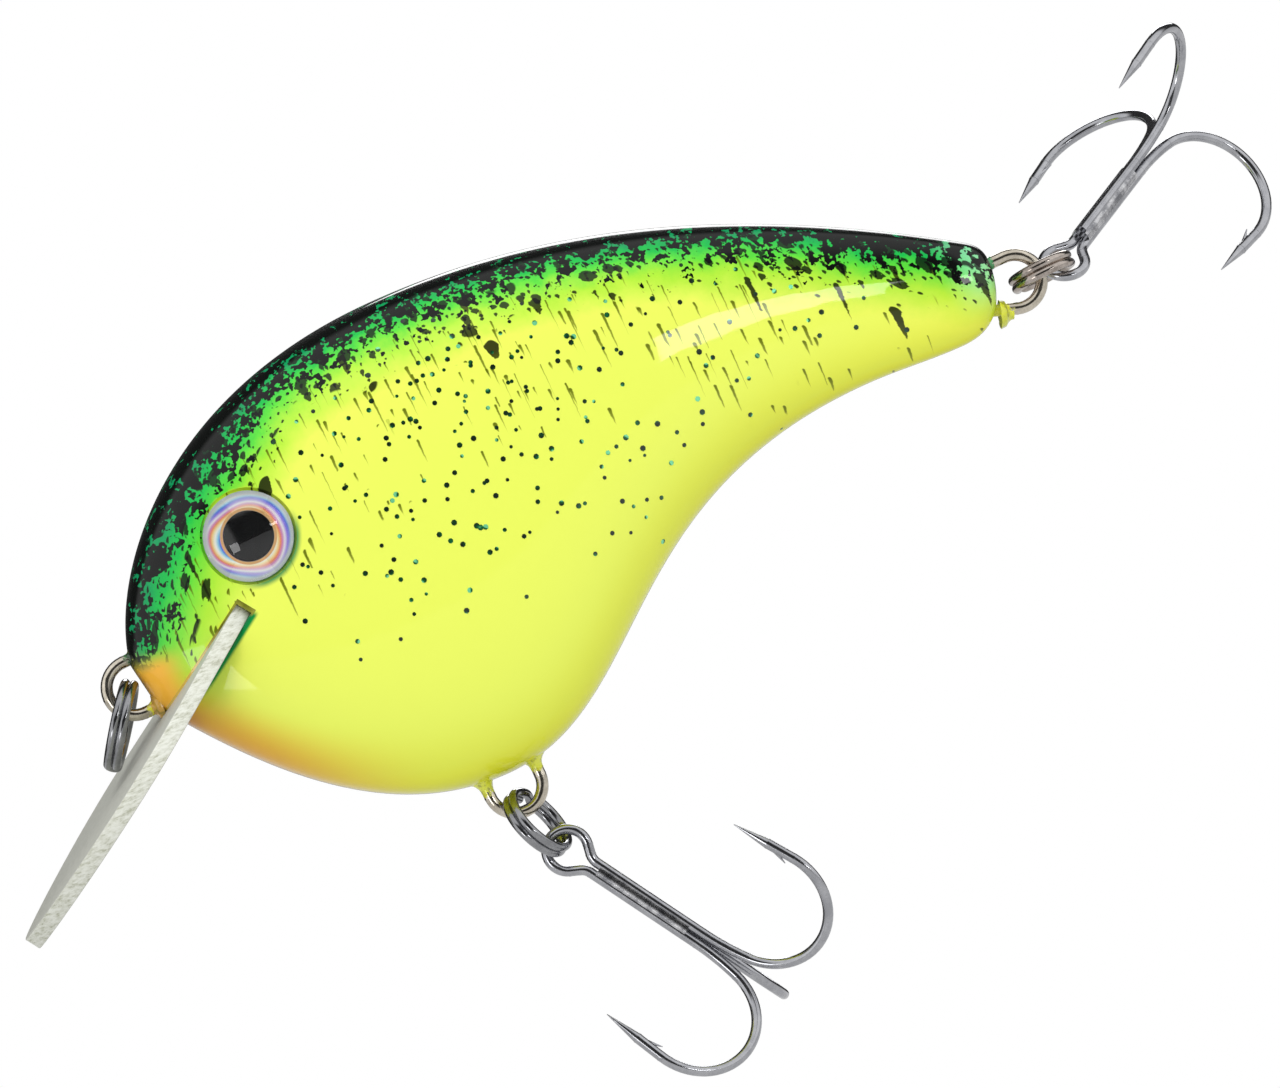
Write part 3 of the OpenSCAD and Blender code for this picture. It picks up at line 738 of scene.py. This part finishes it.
def slot_cutter(inner=-0.3, half=SLOT_HALF):
    corners = [on_lip(a, c, t) for a in (inner, 25) for c in (-12, 12) for t in (-half, half)]
    faces = [(0, 1, 3, 2), (4, 6, 7, 5), (0, 4, 5, 1), (2, 3, 7, 6), (0, 2, 6, 4), (1, 5, 7, 3)]
    return to_object("slot_cutter", corners, faces, None)


def eye_place(side):
    """Middle of the foil disc and the way the eye faces."""
    at = Vector((EYE_AT[0], side * EYE_AT[1], EYE_AT[2]))
    axis = Vector((-math.sin(EYE_TURN), side * math.cos(EYE_TURN), 0))
    return at, axis


def lathe(name, profile, at, axis, finish, turns=96):
    """A turned piece from (radius, height) points."""
    turn = axis.to_track_quat("Z", "Y").to_matrix()
    verts, faces, n = [], [], len(profile)
    for i in range(turns):
        a = 2 * math.pi * i / turns
        verts += [at + turn @ Vector((r * math.cos(a), r * math.sin(a), h)) for r, h in profile]
    for i in range(turns):
        k = (i + 1) % turns
        for j in range(n - 1):
            faces.append((i * n + j, k * n + j, k * n + j + 1, i * n + j + 1))
    obj = to_object(name, verts, faces, finish)
    bm = bmesh.new()
    bm.from_mesh(obj.data)
    bmesh.ops.remove_doubles(bm, verts=bm.verts, dist=1e-8)
    bmesh.ops.recalc_face_normals(bm, faces=bm.faces)
    bm.to_mesh(obj.data)
    bm.free()
    shade(obj.data, 35)
    return obj


def cut(obj, cutter):
    mod = obj.modifiers.new("cut", "BOOLEAN")
    mod.operation = "DIFFERENCE"
    mod.solver = "EXACT"
    mod.object = cutter
    settle(obj)
    bpy.data.objects.remove(cutter)


def mark_paint_depths(mesh):
    """Stores how far each point lies below the back and over the belly, and how it faces."""
    n = len(mesh.vertices)
    co = np.zeros(n * 3)
    mesh.vertices.foreach_get("co", co)
    co = co.reshape(-1, 3) / MM
    nor = np.zeros(n * 3)
    mesh.vertex_normals.foreach_get("vector", nor)
    nor = nor.reshape(-1, 3)
    top, low = outline(BACK, co[:, 0]), outline(BELLY, co[:, 0])
    half, rise = outline(GIRTH, co[:, 0])[:, None], ((top - low) / 2)[:, None]
    # distance over the skin from the ridge of the back, section by section
    steps, power = 64, 2 / SECTION_POWER
    a = np.linspace(0, np.pi, steps + 1)
    py, pz = np.sin(a) ** power, np.sign(np.cos(a)) * np.abs(np.cos(a)) ** power
    run = np.cumsum(np.hypot(half * np.diff(py), rise * np.diff(pz)), axis=1)
    run = np.hstack([np.zeros((n, 1)), run])
    level = np.clip((co[:, 2] - (top + low) / 2) / np.maximum(rise[:, 0], 1e-6), -1, 1)
    spot = np.arccos(np.sign(level) * np.abs(level) ** (1 / power)) / np.pi * steps
    lower = np.clip(spot.astype(int), 0, steps - 1)
    share = spot - lower
    rows = np.arange(n)
    run = run[rows, lower] * (1 - share) + run[rows, lower + 1] * share
    for name, data in (("back_depth", top - co[:, 2]), ("belly_rise", co[:, 2] - low),
                       ("underside", np.clip(-nor[:, 2], 0, 1)), ("skin_run", run)):
        layer = mesh.attributes.new(name, "FLOAT", "POINT")
        layer.data.foreach_set("value", data.astype(np.float32))


# ---------------------------------------------------------------- geometry node trees


def new_tree(name, inputs):
    tree = bpy.data.node_groups.new(name, "GeometryNodeTree")
    tree.interface.new_socket("Geometry", in_out="INPUT", socket_type="NodeSocketGeometry")
    for label, kind, value in inputs:
        sock = tree.interface.new_socket(label, in_out="INPUT", socket_type=kind)
        if value is not None:
            sock.default_value = value
    tree.interface.new_socket("Geometry", in_out="OUTPUT", socket_type="NodeSocketGeometry")
    s = Shade(tree)
    return tree, s, s.put("NodeGroupInput").outputs, s.put("NodeGroupOutput").inputs


def flake_tree():
    """Scatters small seven-sided flakes over a surface, thickest where Cover is high."""
    tree, s, i, o = new_tree("Flake Scatter", [
        ("Flake Size", "NodeSocketFloat", 0.0003), ("Density", "NodeSocketFloat", 1e5),
        ("Seed", "NodeSocketInt", 1), ("Finish", "NodeSocketMaterial", None)])
    cover = s.put("GeometryNodeInputNamedAttribute", data_type="FLOAT")
    cover.inputs["Name"].default_value = "flake_cover"
    points = s.put("GeometryNodeDistributePointsOnFaces", distribute_method="RANDOM")
    s.feed(points.inputs["Mesh"], i["Geometry"])
    s.feed(points.inputs["Density"], s.math("MULTIPLY", cover.outputs[0], i["Density"]))
    s.feed(points.inputs["Seed"], i["Seed"])
    disc = s.put("GeometryNodeMeshCylinder", fill_type="TRIANGLE_FAN")
    disc.inputs["Vertices"].default_value = 7
    s.feed(disc.inputs["Radius"], s.math("MULTIPLY", i["Flake Size"], 0.5))
    disc.inputs["Depth"].default_value = 0.00004
    size = s.put("FunctionNodeRandomValue", data_type="FLOAT")
    size.inputs[2].default_value = 0.62
    size.inputs[3].default_value = 1.12
    s.feed(size.inputs["Seed"], i["Seed"])
    put = s.put("GeometryNodeInstanceOnPoints")
    s.feed(put.inputs["Points"], points.outputs["Points"])
    s.feed(put.inputs["Instance"], disc.outputs["Mesh"])
    s.feed(put.inputs["Rotation"], points.outputs["Rotation"])
    s.feed(put.inputs["Scale"], size.outputs[1])
    real = s.put("GeometryNodeRealizeInstances")
    s.feed(real.inputs[0], put.outputs[0])
    mat = s.put("GeometryNodeSetMaterial")
    s.feed(mat.inputs["Geometry"], real.outputs[0])
    s.feed(mat.inputs["Material"], i["Finish"])
    s.feed(o[0], mat.outputs[0])
    return tree


def ring_tree():
    """One wire wound nearly twice round, stepping from coil to coil in a short arc."""
    tree, s, i, o = new_tree("Split Ring", [
        ("Radius", "NodeSocketFloat", 0.0025), ("Wire", "NodeSocketFloat", 0.0006),
        ("Pitch", "NodeSocketFloat", 0.00055), ("Opening", "NodeSocketFloat", 0.55),
        ("Finish", "NodeSocketMaterial", None)])
    line = s.put("GeometryNodeCurvePrimitiveLine")
    fine = s.put("GeometryNodeResampleCurve")
    s.feed(fine.inputs["Curve"], line.outputs[0])
    fine.inputs["Count"].default_value = 260
    along = s.put("GeometryNodeSplineParameter").outputs["Factor"]
    total = s.math("SUBTRACT", 4 * math.pi - 0.06, i["Opening"])
    angle = s.math("MULTIPLY", along, total)
    climb = s.smooth(angle, s.math("SUBTRACT", 2 * math.pi, i["Opening"]), 2 * math.pi, -0.5, 0.5)
    place = s.put("ShaderNodeCombineXYZ")
    s.feed(place.inputs[0], s.math("MULTIPLY", s.math("COSINE", angle), i["Radius"]))
    s.feed(place.inputs[1], s.math("MULTIPLY", s.math("SINE", angle), i["Radius"]))
    s.feed(place.inputs[2], s.math("MULTIPLY", climb, i["Pitch"]))
    moved = s.put("GeometryNodeSetPosition")
    s.feed(moved.inputs["Geometry"], fine.outputs[0])
    s.feed(moved.inputs["Position"], place.outputs[0])
    hoop = s.put("GeometryNodeCurvePrimitiveCircle")
    hoop.inputs["Resolution"].default_value = 22
    s.feed(hoop.inputs["Radius"], s.math("MULTIPLY", i["Wire"], 0.5))
    tube = s.put("GeometryNodeCurveToMesh")
    s.feed(tube.inputs["Curve"], moved.outputs[0])
    s.feed(tube.inputs["Profile Curve"], hoop.outputs[0])
    tube.inputs["Fill Caps"].default_value = True
    real = s.put("GeometryNodeRealizeInstances")
    s.feed(real.inputs[0], tube.outputs[0])
    mat = s.put("GeometryNodeSetMaterial")
    s.feed(mat.inputs["Geometry"], real.outputs[0])
    s.feed(mat.inputs["Material"], i["Finish"])
    s.feed(o[0], mat.outputs[0])
    return tree


def grow(obj, tree, values):
    """Runs a node tree on an object with the given inputs and keeps the plain mesh."""
    mod = obj.modifiers.new(tree.name, "NODES")
    mod.node_group = tree
    for item in tree.interface.items_tree:
        if item.item_type == "SOCKET" and item.in_out == "INPUT" and item.name in values:
            mod[item.identifier] = values[item.name]
    obj.update_tag()
    return settle(obj)


# ---------------------------------------------------------------- operators


def dress(node, finish):
    """Gives a CAD piece its finish."""
    slots = NODES[node].data.materials
    slots.clear()
    slots.append(finish)


class LURE_OT_body(bpy.types.Operator):
    """Builds the painted body with its lip slot and eye sockets"""

    bl_idname = "lure.body"
    bl_label = "Painted body"

    def execute(self, context):
        verts, faces = body_blank()
        body = to_object("painted_body", verts, faces, paint_finish(context.scene.lure_paint), 50)
        cut(body, slot_cutter())
        for side in (-1, 1):
            at, axis = eye_place(side)
            r = SOCKET_R
            plug = lathe("socket_cutter", [(0, 0), (r, 0), (r, 6), (0, 6)], at, axis, None)
            cut(body, plug)
        shade(body.data, 42)
        mark_paint_depths(body.data)
        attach(body, "lure")
        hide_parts("left_body_half", "right_body_half")
        return {"FINISHED"}


class LURE_OT_flakes(bpy.types.Operator):
    """Scatters glitter flakes under the lacquer of both flanks"""

    bl_idname = "lure.flakes"
    bl_label = "Glitter flakes"

    def execute(self, context):
        c = context.scene.lure_flakes
        body = bpy.data.objects["painted_body"]
        mesh = body.data.copy()
        n = len(mesh.vertices)
        co = np.zeros(n * 3)
        mesh.vertices.foreach_get("co", co)
        x, y, z = co.reshape(-1, 3).T / MM

        def hill(v, a, b, c, d):
            up = np.clip((v - a) / (b - a), 0, 1)
            down = np.clip((d - v) / (d - c), 0, 1)
            return up * down

        depth = outline(BACK, x) - z
        cover = hill(x, 8, 20, 33, 46) * hill(depth, 3.2, 5.0, 14, 22)
        cover = cover + 0.25 * hill(x, 10, 20, 50, 60) * hill(depth, 1.5, 3, 8, 14)
        cover = cover + 0.08 * hill(x, 10, 16, 34, 40) * hill(z, -10, -4, 4, 8)
        cover *= np.abs(y) > 1.2
        eye = np.hypot(x - EYE_AT[0] + 0.6, z - EYE_AT[2]) < 3.7
        slot = np.abs(-(x - LIP_ROOT.x) * math.sin(LIP_ANGLE)
                      + (z - LIP_ROOT.z) * math.cos(LIP_ANGLE)) < 1.0
        cover *= ~(eye | (slot & (x < 9.2)))
        layer = mesh.attributes.new("flake_cover", "FLOAT", "POINT")
        layer.data.foreach_set("value", cover.astype(np.float32))
        flakes = bpy.data.objects.new("glitter_flakes", mesh)
        context.scene.collection.objects.link(flakes)
        grow(flakes, flake_tree(), {
            "Flake Size": c.size, "Density": c.density, "Seed": c.seed, "Finish": flake_finish()})
        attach(flakes, "lure")
        return {"FINISHED"}


class LURE_OT_lip(bpy.types.Operator):
    """Builds the diving lip with softened edges, and its resin"""

    bl_idname = "lure.lip"
    bl_label = "Diving lip"

    def execute(self, context):
        mesh = NODES["diving_lip"].data.copy()
        bm = bmesh.new()
        bm.from_mesh(mesh)
        bmesh.ops.remove_doubles(bm, verts=bm.verts, dist=2e-7)
        bmesh.ops.dissolve_limit(bm, angle_limit=math.radians(0.6), verts=bm.verts, edges=bm.edges)
        bm.to_mesh(mesh)
        bm.free()
        mesh.materials.clear()
        mesh.materials.append(lip_finish())
        lip = bpy.data.objects.new("lip_sheet", mesh)
        context.scene.collection.objects.link(lip)
        mod = lip.modifiers.new("soft edge", "BEVEL")
        mod.width = 0.05 * MM
        mod.segments = 2
        mod.limit_method = "ANGLE"
        mod.angle_limit = math.radians(50)
        settle(lip)
        shade(lip.data, 40)
        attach(lip, "lure")
        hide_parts("diving_lip")
        # resin fills the slot round the sheet, flush with the paint
        verts, faces = body_blank(200, 120)
        mid = (outline(BACK, 12.0) + outline(BELLY, 12.0)) / 2
        verts = [(v[0], v[1] * 0.992, mid + (v[2] - mid) * 0.998) for v in verts]
        resin = to_object("slot_resin_fill", verts, faces, resin_finish(), 40)
        mod = resin.modifiers.new("slot", "BOOLEAN")
        mod.operation, mod.solver, mod.object = "INTERSECT", "EXACT", slot_cutter()
        cutter = mod.object
        settle(resin)
        bpy.data.objects.remove(cutter)
        cut(resin, slot_cutter(0.0, LIP_T / 2))
        shade(resin.data, 40)
        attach(resin, "lure")
        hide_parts("lip_slot_resin")
        dress("belly_ballast_slug", lead_finish())
        return {"FINISHED"}


class LURE_OT_eyes(bpy.types.Operator):
    """Finishes the foil discs and turns the clear domes"""

    bl_idname = "lure.eyes"
    bl_label = "Eyes"

    def execute(self, context):
        glass = dome_finish()
        for side, name in ((-1, "left"), (1, "right")):
            dress(f"{name}_eye_foil_disc", foil_finish(side))
            at, axis = eye_place(side)
            # a drum with rounded corners under a shallow lens, a hair over the foil
            low = FOIL_T + DOME_LIFT
            crown = FOIL_T + DOME_RIM + DOME_LENS
            ball = (EYE_R ** 2 + DOME_LENS ** 2) / (2 * DOME_LENS)
            profile = [(0.0, low), (EYE_R - 0.08, low), (EYE_R - 0.02, low + 0.02),
                       (EYE_R, low + 0.08)]
            steps = 26
            for i in range(steps + 1):
                r = EYE_R * math.cos(math.pi / 2 * i / steps)
                h = crown - ball + math.sqrt(ball ** 2 - r ** 2)
                profile.append((r if i < steps else 0.0, h))
            dome = lathe(f"{name}_clear_dome", profile, at, axis, glass, 128)
            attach(dome, "lure")
            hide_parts(f"{name}_eye_dome")
        return {"FINISHED"}


class LURE_OT_harness(bpy.types.Operator):
    """Finishes the through wire and adds the lacquer collars where it leaves the wood"""

    bl_idname = "lure.harness"
    bl_label = "Wire harness"

    def execute(self, context):
        dress("through_wire_harness", harness_finish())
        finish = collar_finish()
        # where the wire leaves the wood, which way it goes, and how long the collar is
        exits = [
            ((0.72, 0, 1.78), (-1, 0, 0), 0.35), ((0.75, 0, -1.75), (-1, 0, 0), 0.3),
            ((18.12, 0, -14.9), (0, 0, -1), 0.95), ((21.68, 0, -14.9), (0, 0, -1), 0.75),
            ((62.0, 0, 1.83), (1, 0, 0), 0.5), ((61.85, 0, -1.55), (0.95, 0, -0.31), 0.55),
        ]
        made = []
        for k, (at, way, run) in enumerate(exits):
            steps = 9
            profile = [(0.0, -0.35), (0.95, -0.35)]
            for i in range(steps + 1):
                t = i / steps
                profile.append((0.405 + 0.42 * (1 - t) ** 2.6, run * t))
            profile.append((0.0, run))
            made.append(lathe(f"collar_{k}", profile, Vector(at), Vector(way), finish, 28))
        join = bmesh.new()
        for obj in made:
            join.from_mesh(obj.data)
            bpy.data.objects.remove(obj)
        rng = np.random.default_rng(5)
        for v in join.verts:
            v.co += Vector(rng.normal(0, 0.012, 3)) * MM
        mesh = bpy.data.meshes.new("paint_collars")
        join.to_mesh(mesh)
        join.free()
        mesh.materials.append(finish)
        shade(mesh, 60)
        collars = bpy.data.objects.new("paint_collars", mesh)
        context.scene.collection.objects.link(collars)
        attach(collars, "lure")
        return {"FINISHED"}


class LURE_OT_rings(bpy.types.Operator):
    """Winds the three split rings"""

    bl_idname = "lure.rings"
    bl_label = "Split rings"

    def execute(self, context):
        c = context.scene.lure_rings
        black = metal_finish("Black ring steel", linear(140, 141, 144), linear(196, 197, 200), 0.4)[0]
        smoked = metal_finish("Smoked ring steel", linear(150, 140, 132), linear(214, 204, 196), 0.75)[0]
        tree = ring_tree()
        for node, (body, outer, at, (tilt, turn), start) in RINGS.items():
            ring = bpy.data.objects.new(f"wound_{node}", bpy.data.meshes.new(f"wound_{node}"))
            context.scene.collection.objects.link(ring)
            bright = node == "tail_split_ring"
            grow(ring, tree, {
                "Radius": outer * MM / 2 - c.wire / 2, "Wire": c.wire, "Pitch": c.pitch,
                "Opening": c.opening, "Finish": smoked if bright else black})
            pose = (Matrix.Translation(Vector(at) * MM)
                    @ Matrix.Rotation(math.radians(turn), 4, "Z")
                    @ Matrix.Rotation(math.radians(tilt), 4, "Y")
                    @ Matrix.Rotation(math.radians(start), 4, "Z"))
            ring.data.transform(pose)
            shade(ring.data, 40)
            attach(ring, body)
            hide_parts(node)
        return {"FINISHED"}


class LURE_OT_hooks(bpy.types.Operator):
    """Finishes the two treble hooks"""

    bl_idname = "lure.hooks"
    bl_label = "Treble hooks"

    def execute(self, context):
        steel = metal_finish(
            "Black nickel hook wire", linear(168, 169, 174), linear(226, 227, 230), 0.35)[0]
        braze = metal_finish(
            "Brazed sleeve", linear(132, 133, 138), linear(230, 230, 232), 0.85, 1.6, 0.06)[0]
        for end in ("belly", "tail"):
            dress(f"{end}_treble_double_hook", steel)
            dress(f"{end}_treble_single_hook", steel)
            dress(f"{end}_treble_braze", braze)
        return {"FINISHED"}


class LURE_OT_stage(bpy.types.Operator):
    """Sets the pale floor, the soft lights and the camera"""

    bl_idname = "lure.stage"
    bl_label = "Stage"

    def execute(self, context):
        c = context.scene.lure_stage
        scene = context.scene
        scene.view_settings.view_transform = "Standard"
        # camera: a little towards the nose, level with the lure, leaned to one side
        swing, lean, scale = math.radians(7.5), math.radians(24.68), 15.45
        right = Vector((math.cos(swing), -math.sin(swing), 0))
        away = Vector((math.sin(swing), math.cos(swing), 0))
        up = Vector((0, 0, 1))
        cx, cz = (640 - 134.7) / scale, (687.4 - 544) / scale
        level = cx * math.cos(lean) + cz * math.sin(lean)
        height = -cx * math.sin(lean) + cz * math.cos(lean)
        target = (right * level + up * height) * MM + away * (31 * math.sin(swing)) * MM
        cam = bpy.data.cameras.new("camera")
        cam.sensor_width = 36
        cam.lens = 36 * c.distance / (1280 / scale * MM)
        cam.clip_start, cam.clip_end = 0.01, 50
        eye = bpy.data.objects.new("camera", cam)
        scene.collection.objects.link(eye)
        x_axis = right * math.cos(lean) - up * math.sin(lean)
        y_axis = right * math.sin(lean) + up * math.cos(lean)
        turn = Matrix((x_axis, y_axis, -away)).transposed()
        eye.matrix_world = Matrix.Translation(target - away * c.distance) @ turn.to_4x4()
        scene.camera = eye
        # floor
        lo, hi = CAD_BOX
        mid = (lo + hi) / 2
        n = 96
        verts = [(mid.x / MM, mid.y / MM, (lo.z - c.floor_drop) / MM)]
        verts += [(verts[0][0] + 1400 * math.cos(2 * math.pi * k / n),
                   verts[0][1] + 1400 * math.sin(2 * math.pi * k / n), verts[0][2]) for k in range(n)]
        faces = [(0, 1 + k, 1 + (k + 1) % n) for k in range(n)]
        mat, s, skin = new_finish("Pale floor")
        tone = s.noise(s.place_mm(), 0.01, 2.0)
        s.feed(skin.inputs["Base Color"],
               s.mix(tone, (0.56, 0.56, 0.56, 1), (0.60, 0.60, 0.60, 1)))
        skin.inputs["Roughness"].default_value = 0.9
        skin.inputs["Specular IOR Level"].default_value = 0.0
        skin.inputs["Emission Color"].default_value = (1, 1, 1, 1)
        seen = s.put("ShaderNodeLightPath").outputs["Is Camera Ray"]
        s.feed(skin.inputs["Emission Strength"], s.math("MULTIPLY", seen, 0.45))
        floor = to_object("pale_floor", verts, faces, mat)
        # light from all round, softer from behind and below
        world = bpy.data.worlds.new("soft room")
        scene.world = world
        world.use_nodes = True
        world.node_tree.nodes.clear()
        s = Shade(world.node_tree)
        way = s.put("ShaderNodeTexCoord").outputs["Generated"]
        x, y, z = s.split(way)
        soft = s.math("MULTIPLY", s.span(y, -0.8, 0.9, 0.94, 0.80), s.span(z, -0.7, 0.8, 0.80, 1.1))
        # a bright ring of panels beside and over the camera, dark behind the part
        ahead = s.smooth(y, 0.35, 0.05)
        over = s.smooth(z, 0.5, 0.66, 0.0, 0.9)
        sides = s.smooth(s.math("ABSOLUTE", x), 0.46, 0.62, 0.0, 0.95)
        under = s.smooth(z, -0.5, -0.7, 0.0, 0.45)
        gloss = s.math("MAXIMUM", over, s.math("MAXIMUM", sides, under))
        gloss = s.math("MULTIPLY", gloss, ahead)
        gloss = s.math("ADD", gloss, 0.04)
        rays = s.put("ShaderNodeLightPath").outputs
        glossy = s.math("SUBTRACT", rays["Is Glossy Ray"], rays["Is Transmission Ray"], clamp=True)
        tone = s.mix(glossy, soft, gloss)
        tone = s.mix(rays["Is Camera Ray"], tone, (1.0, 1.0, 1.0, 1.0))
        glow = s.put("ShaderNodeBackground")
        s.feed(glow.inputs["Color"], tone)
        glow.inputs["Strength"].default_value = 1.0
        out = s.put("ShaderNodeOutputWorld")
        world.node_tree.links.new(glow.outputs[0], out.inputs[0])

        def softbox(name, way, far, width, height, power, shines=True):
            lamp = bpy.data.lights.new(name, "AREA")
            lamp.shape = "RECTANGLE"
            lamp.size, lamp.size_y, lamp.energy = width, height, power
            box = bpy.data.objects.new(name, lamp)
            scene.collection.objects.link(box)
            way = Vector(way).normalized()
            at = Vector((0.033, 0, -0.002)) + way * far
            side = Vector((0, 0, 1)).cross(way).normalized()
            turn = Matrix((side, way.cross(side), way)).transposed()
            box.matrix_world = Matrix.Translation(at) @ turn.to_4x4()
            box.visible_glossy = shines

        softbox("key", (0.05, -0.6, 0.8), 0.6, 0.4, 0.3, c.key_power, shines=False)
        softbox("band", (0.50, -0.865, 0.045), 0.55, 0.115, 0.034, c.key_power * 0.09)
        softbox("window", (-0.633, -0.764, -0.121), 0.55, 0.13, 0.13, c.key_power * 0.17)
        softbox("back", (0.35, 0.80, 0.40), 0.6, 0.3, 0.2, c.key_power * 0.6)
        return {"FINISHED"}


class LURE_PT_panel(bpy.types.Panel):
    """Sizes, colours and build steps of the lure"""

    bl_label = "Lure"
    bl_idname = "LURE_PT_panel"
    bl_space_type = "VIEW_3D"
    bl_region_type = "UI"
    bl_category = "Lure"

    def draw(self, context):
        for holder in ("lure_paint", "lure_flakes", "lure_rings", "lure_stage"):
            group = getattr(context.scene, holder)
            box = self.layout.box()
            for name in group.bl_rna.properties.keys():
                if name not in ("rna_type", "name"):
                    box.prop(group, name)
        for op in STEPS:
            self.layout.operator(op.bl_idname)


SETTINGS = {
    "lure_paint": PaintSettings,
    "lure_flakes": FlakeSettings,
    "lure_rings": RingSettings,
    "lure_stage": StageSettings,
}
STEPS = (LURE_OT_body, LURE_OT_flakes, LURE_OT_lip, LURE_OT_eyes, LURE_OT_harness,
         LURE_OT_rings, LURE_OT_hooks, LURE_OT_stage)


def register():
    for cls in (*SETTINGS.values(), *STEPS, LURE_PT_panel):
        bpy.utils.register_class(cls)
    for name, cls in SETTINGS.items():
        setattr(bpy.types.Scene, name, PointerProperty(type=cls))


def unregister():
    for name in SETTINGS:
        delattr(bpy.types.Scene, name)
    for cls in reversed((*SETTINGS.values(), *STEPS, LURE_PT_panel)):
        bpy.utils.unregister_class(cls)


def main():
    register()
    build_effects()
    bpy.ops.lure.body()
    bpy.ops.lure.flakes()
    bpy.ops.lure.lip()
    bpy.ops.lure.eyes()
    bpy.ops.lure.harness()
    bpy.ops.lure.rings()
    bpy.ops.lure.hooks()
    bpy.ops.lure.stage()


if __name__ == "__main__":
    main()
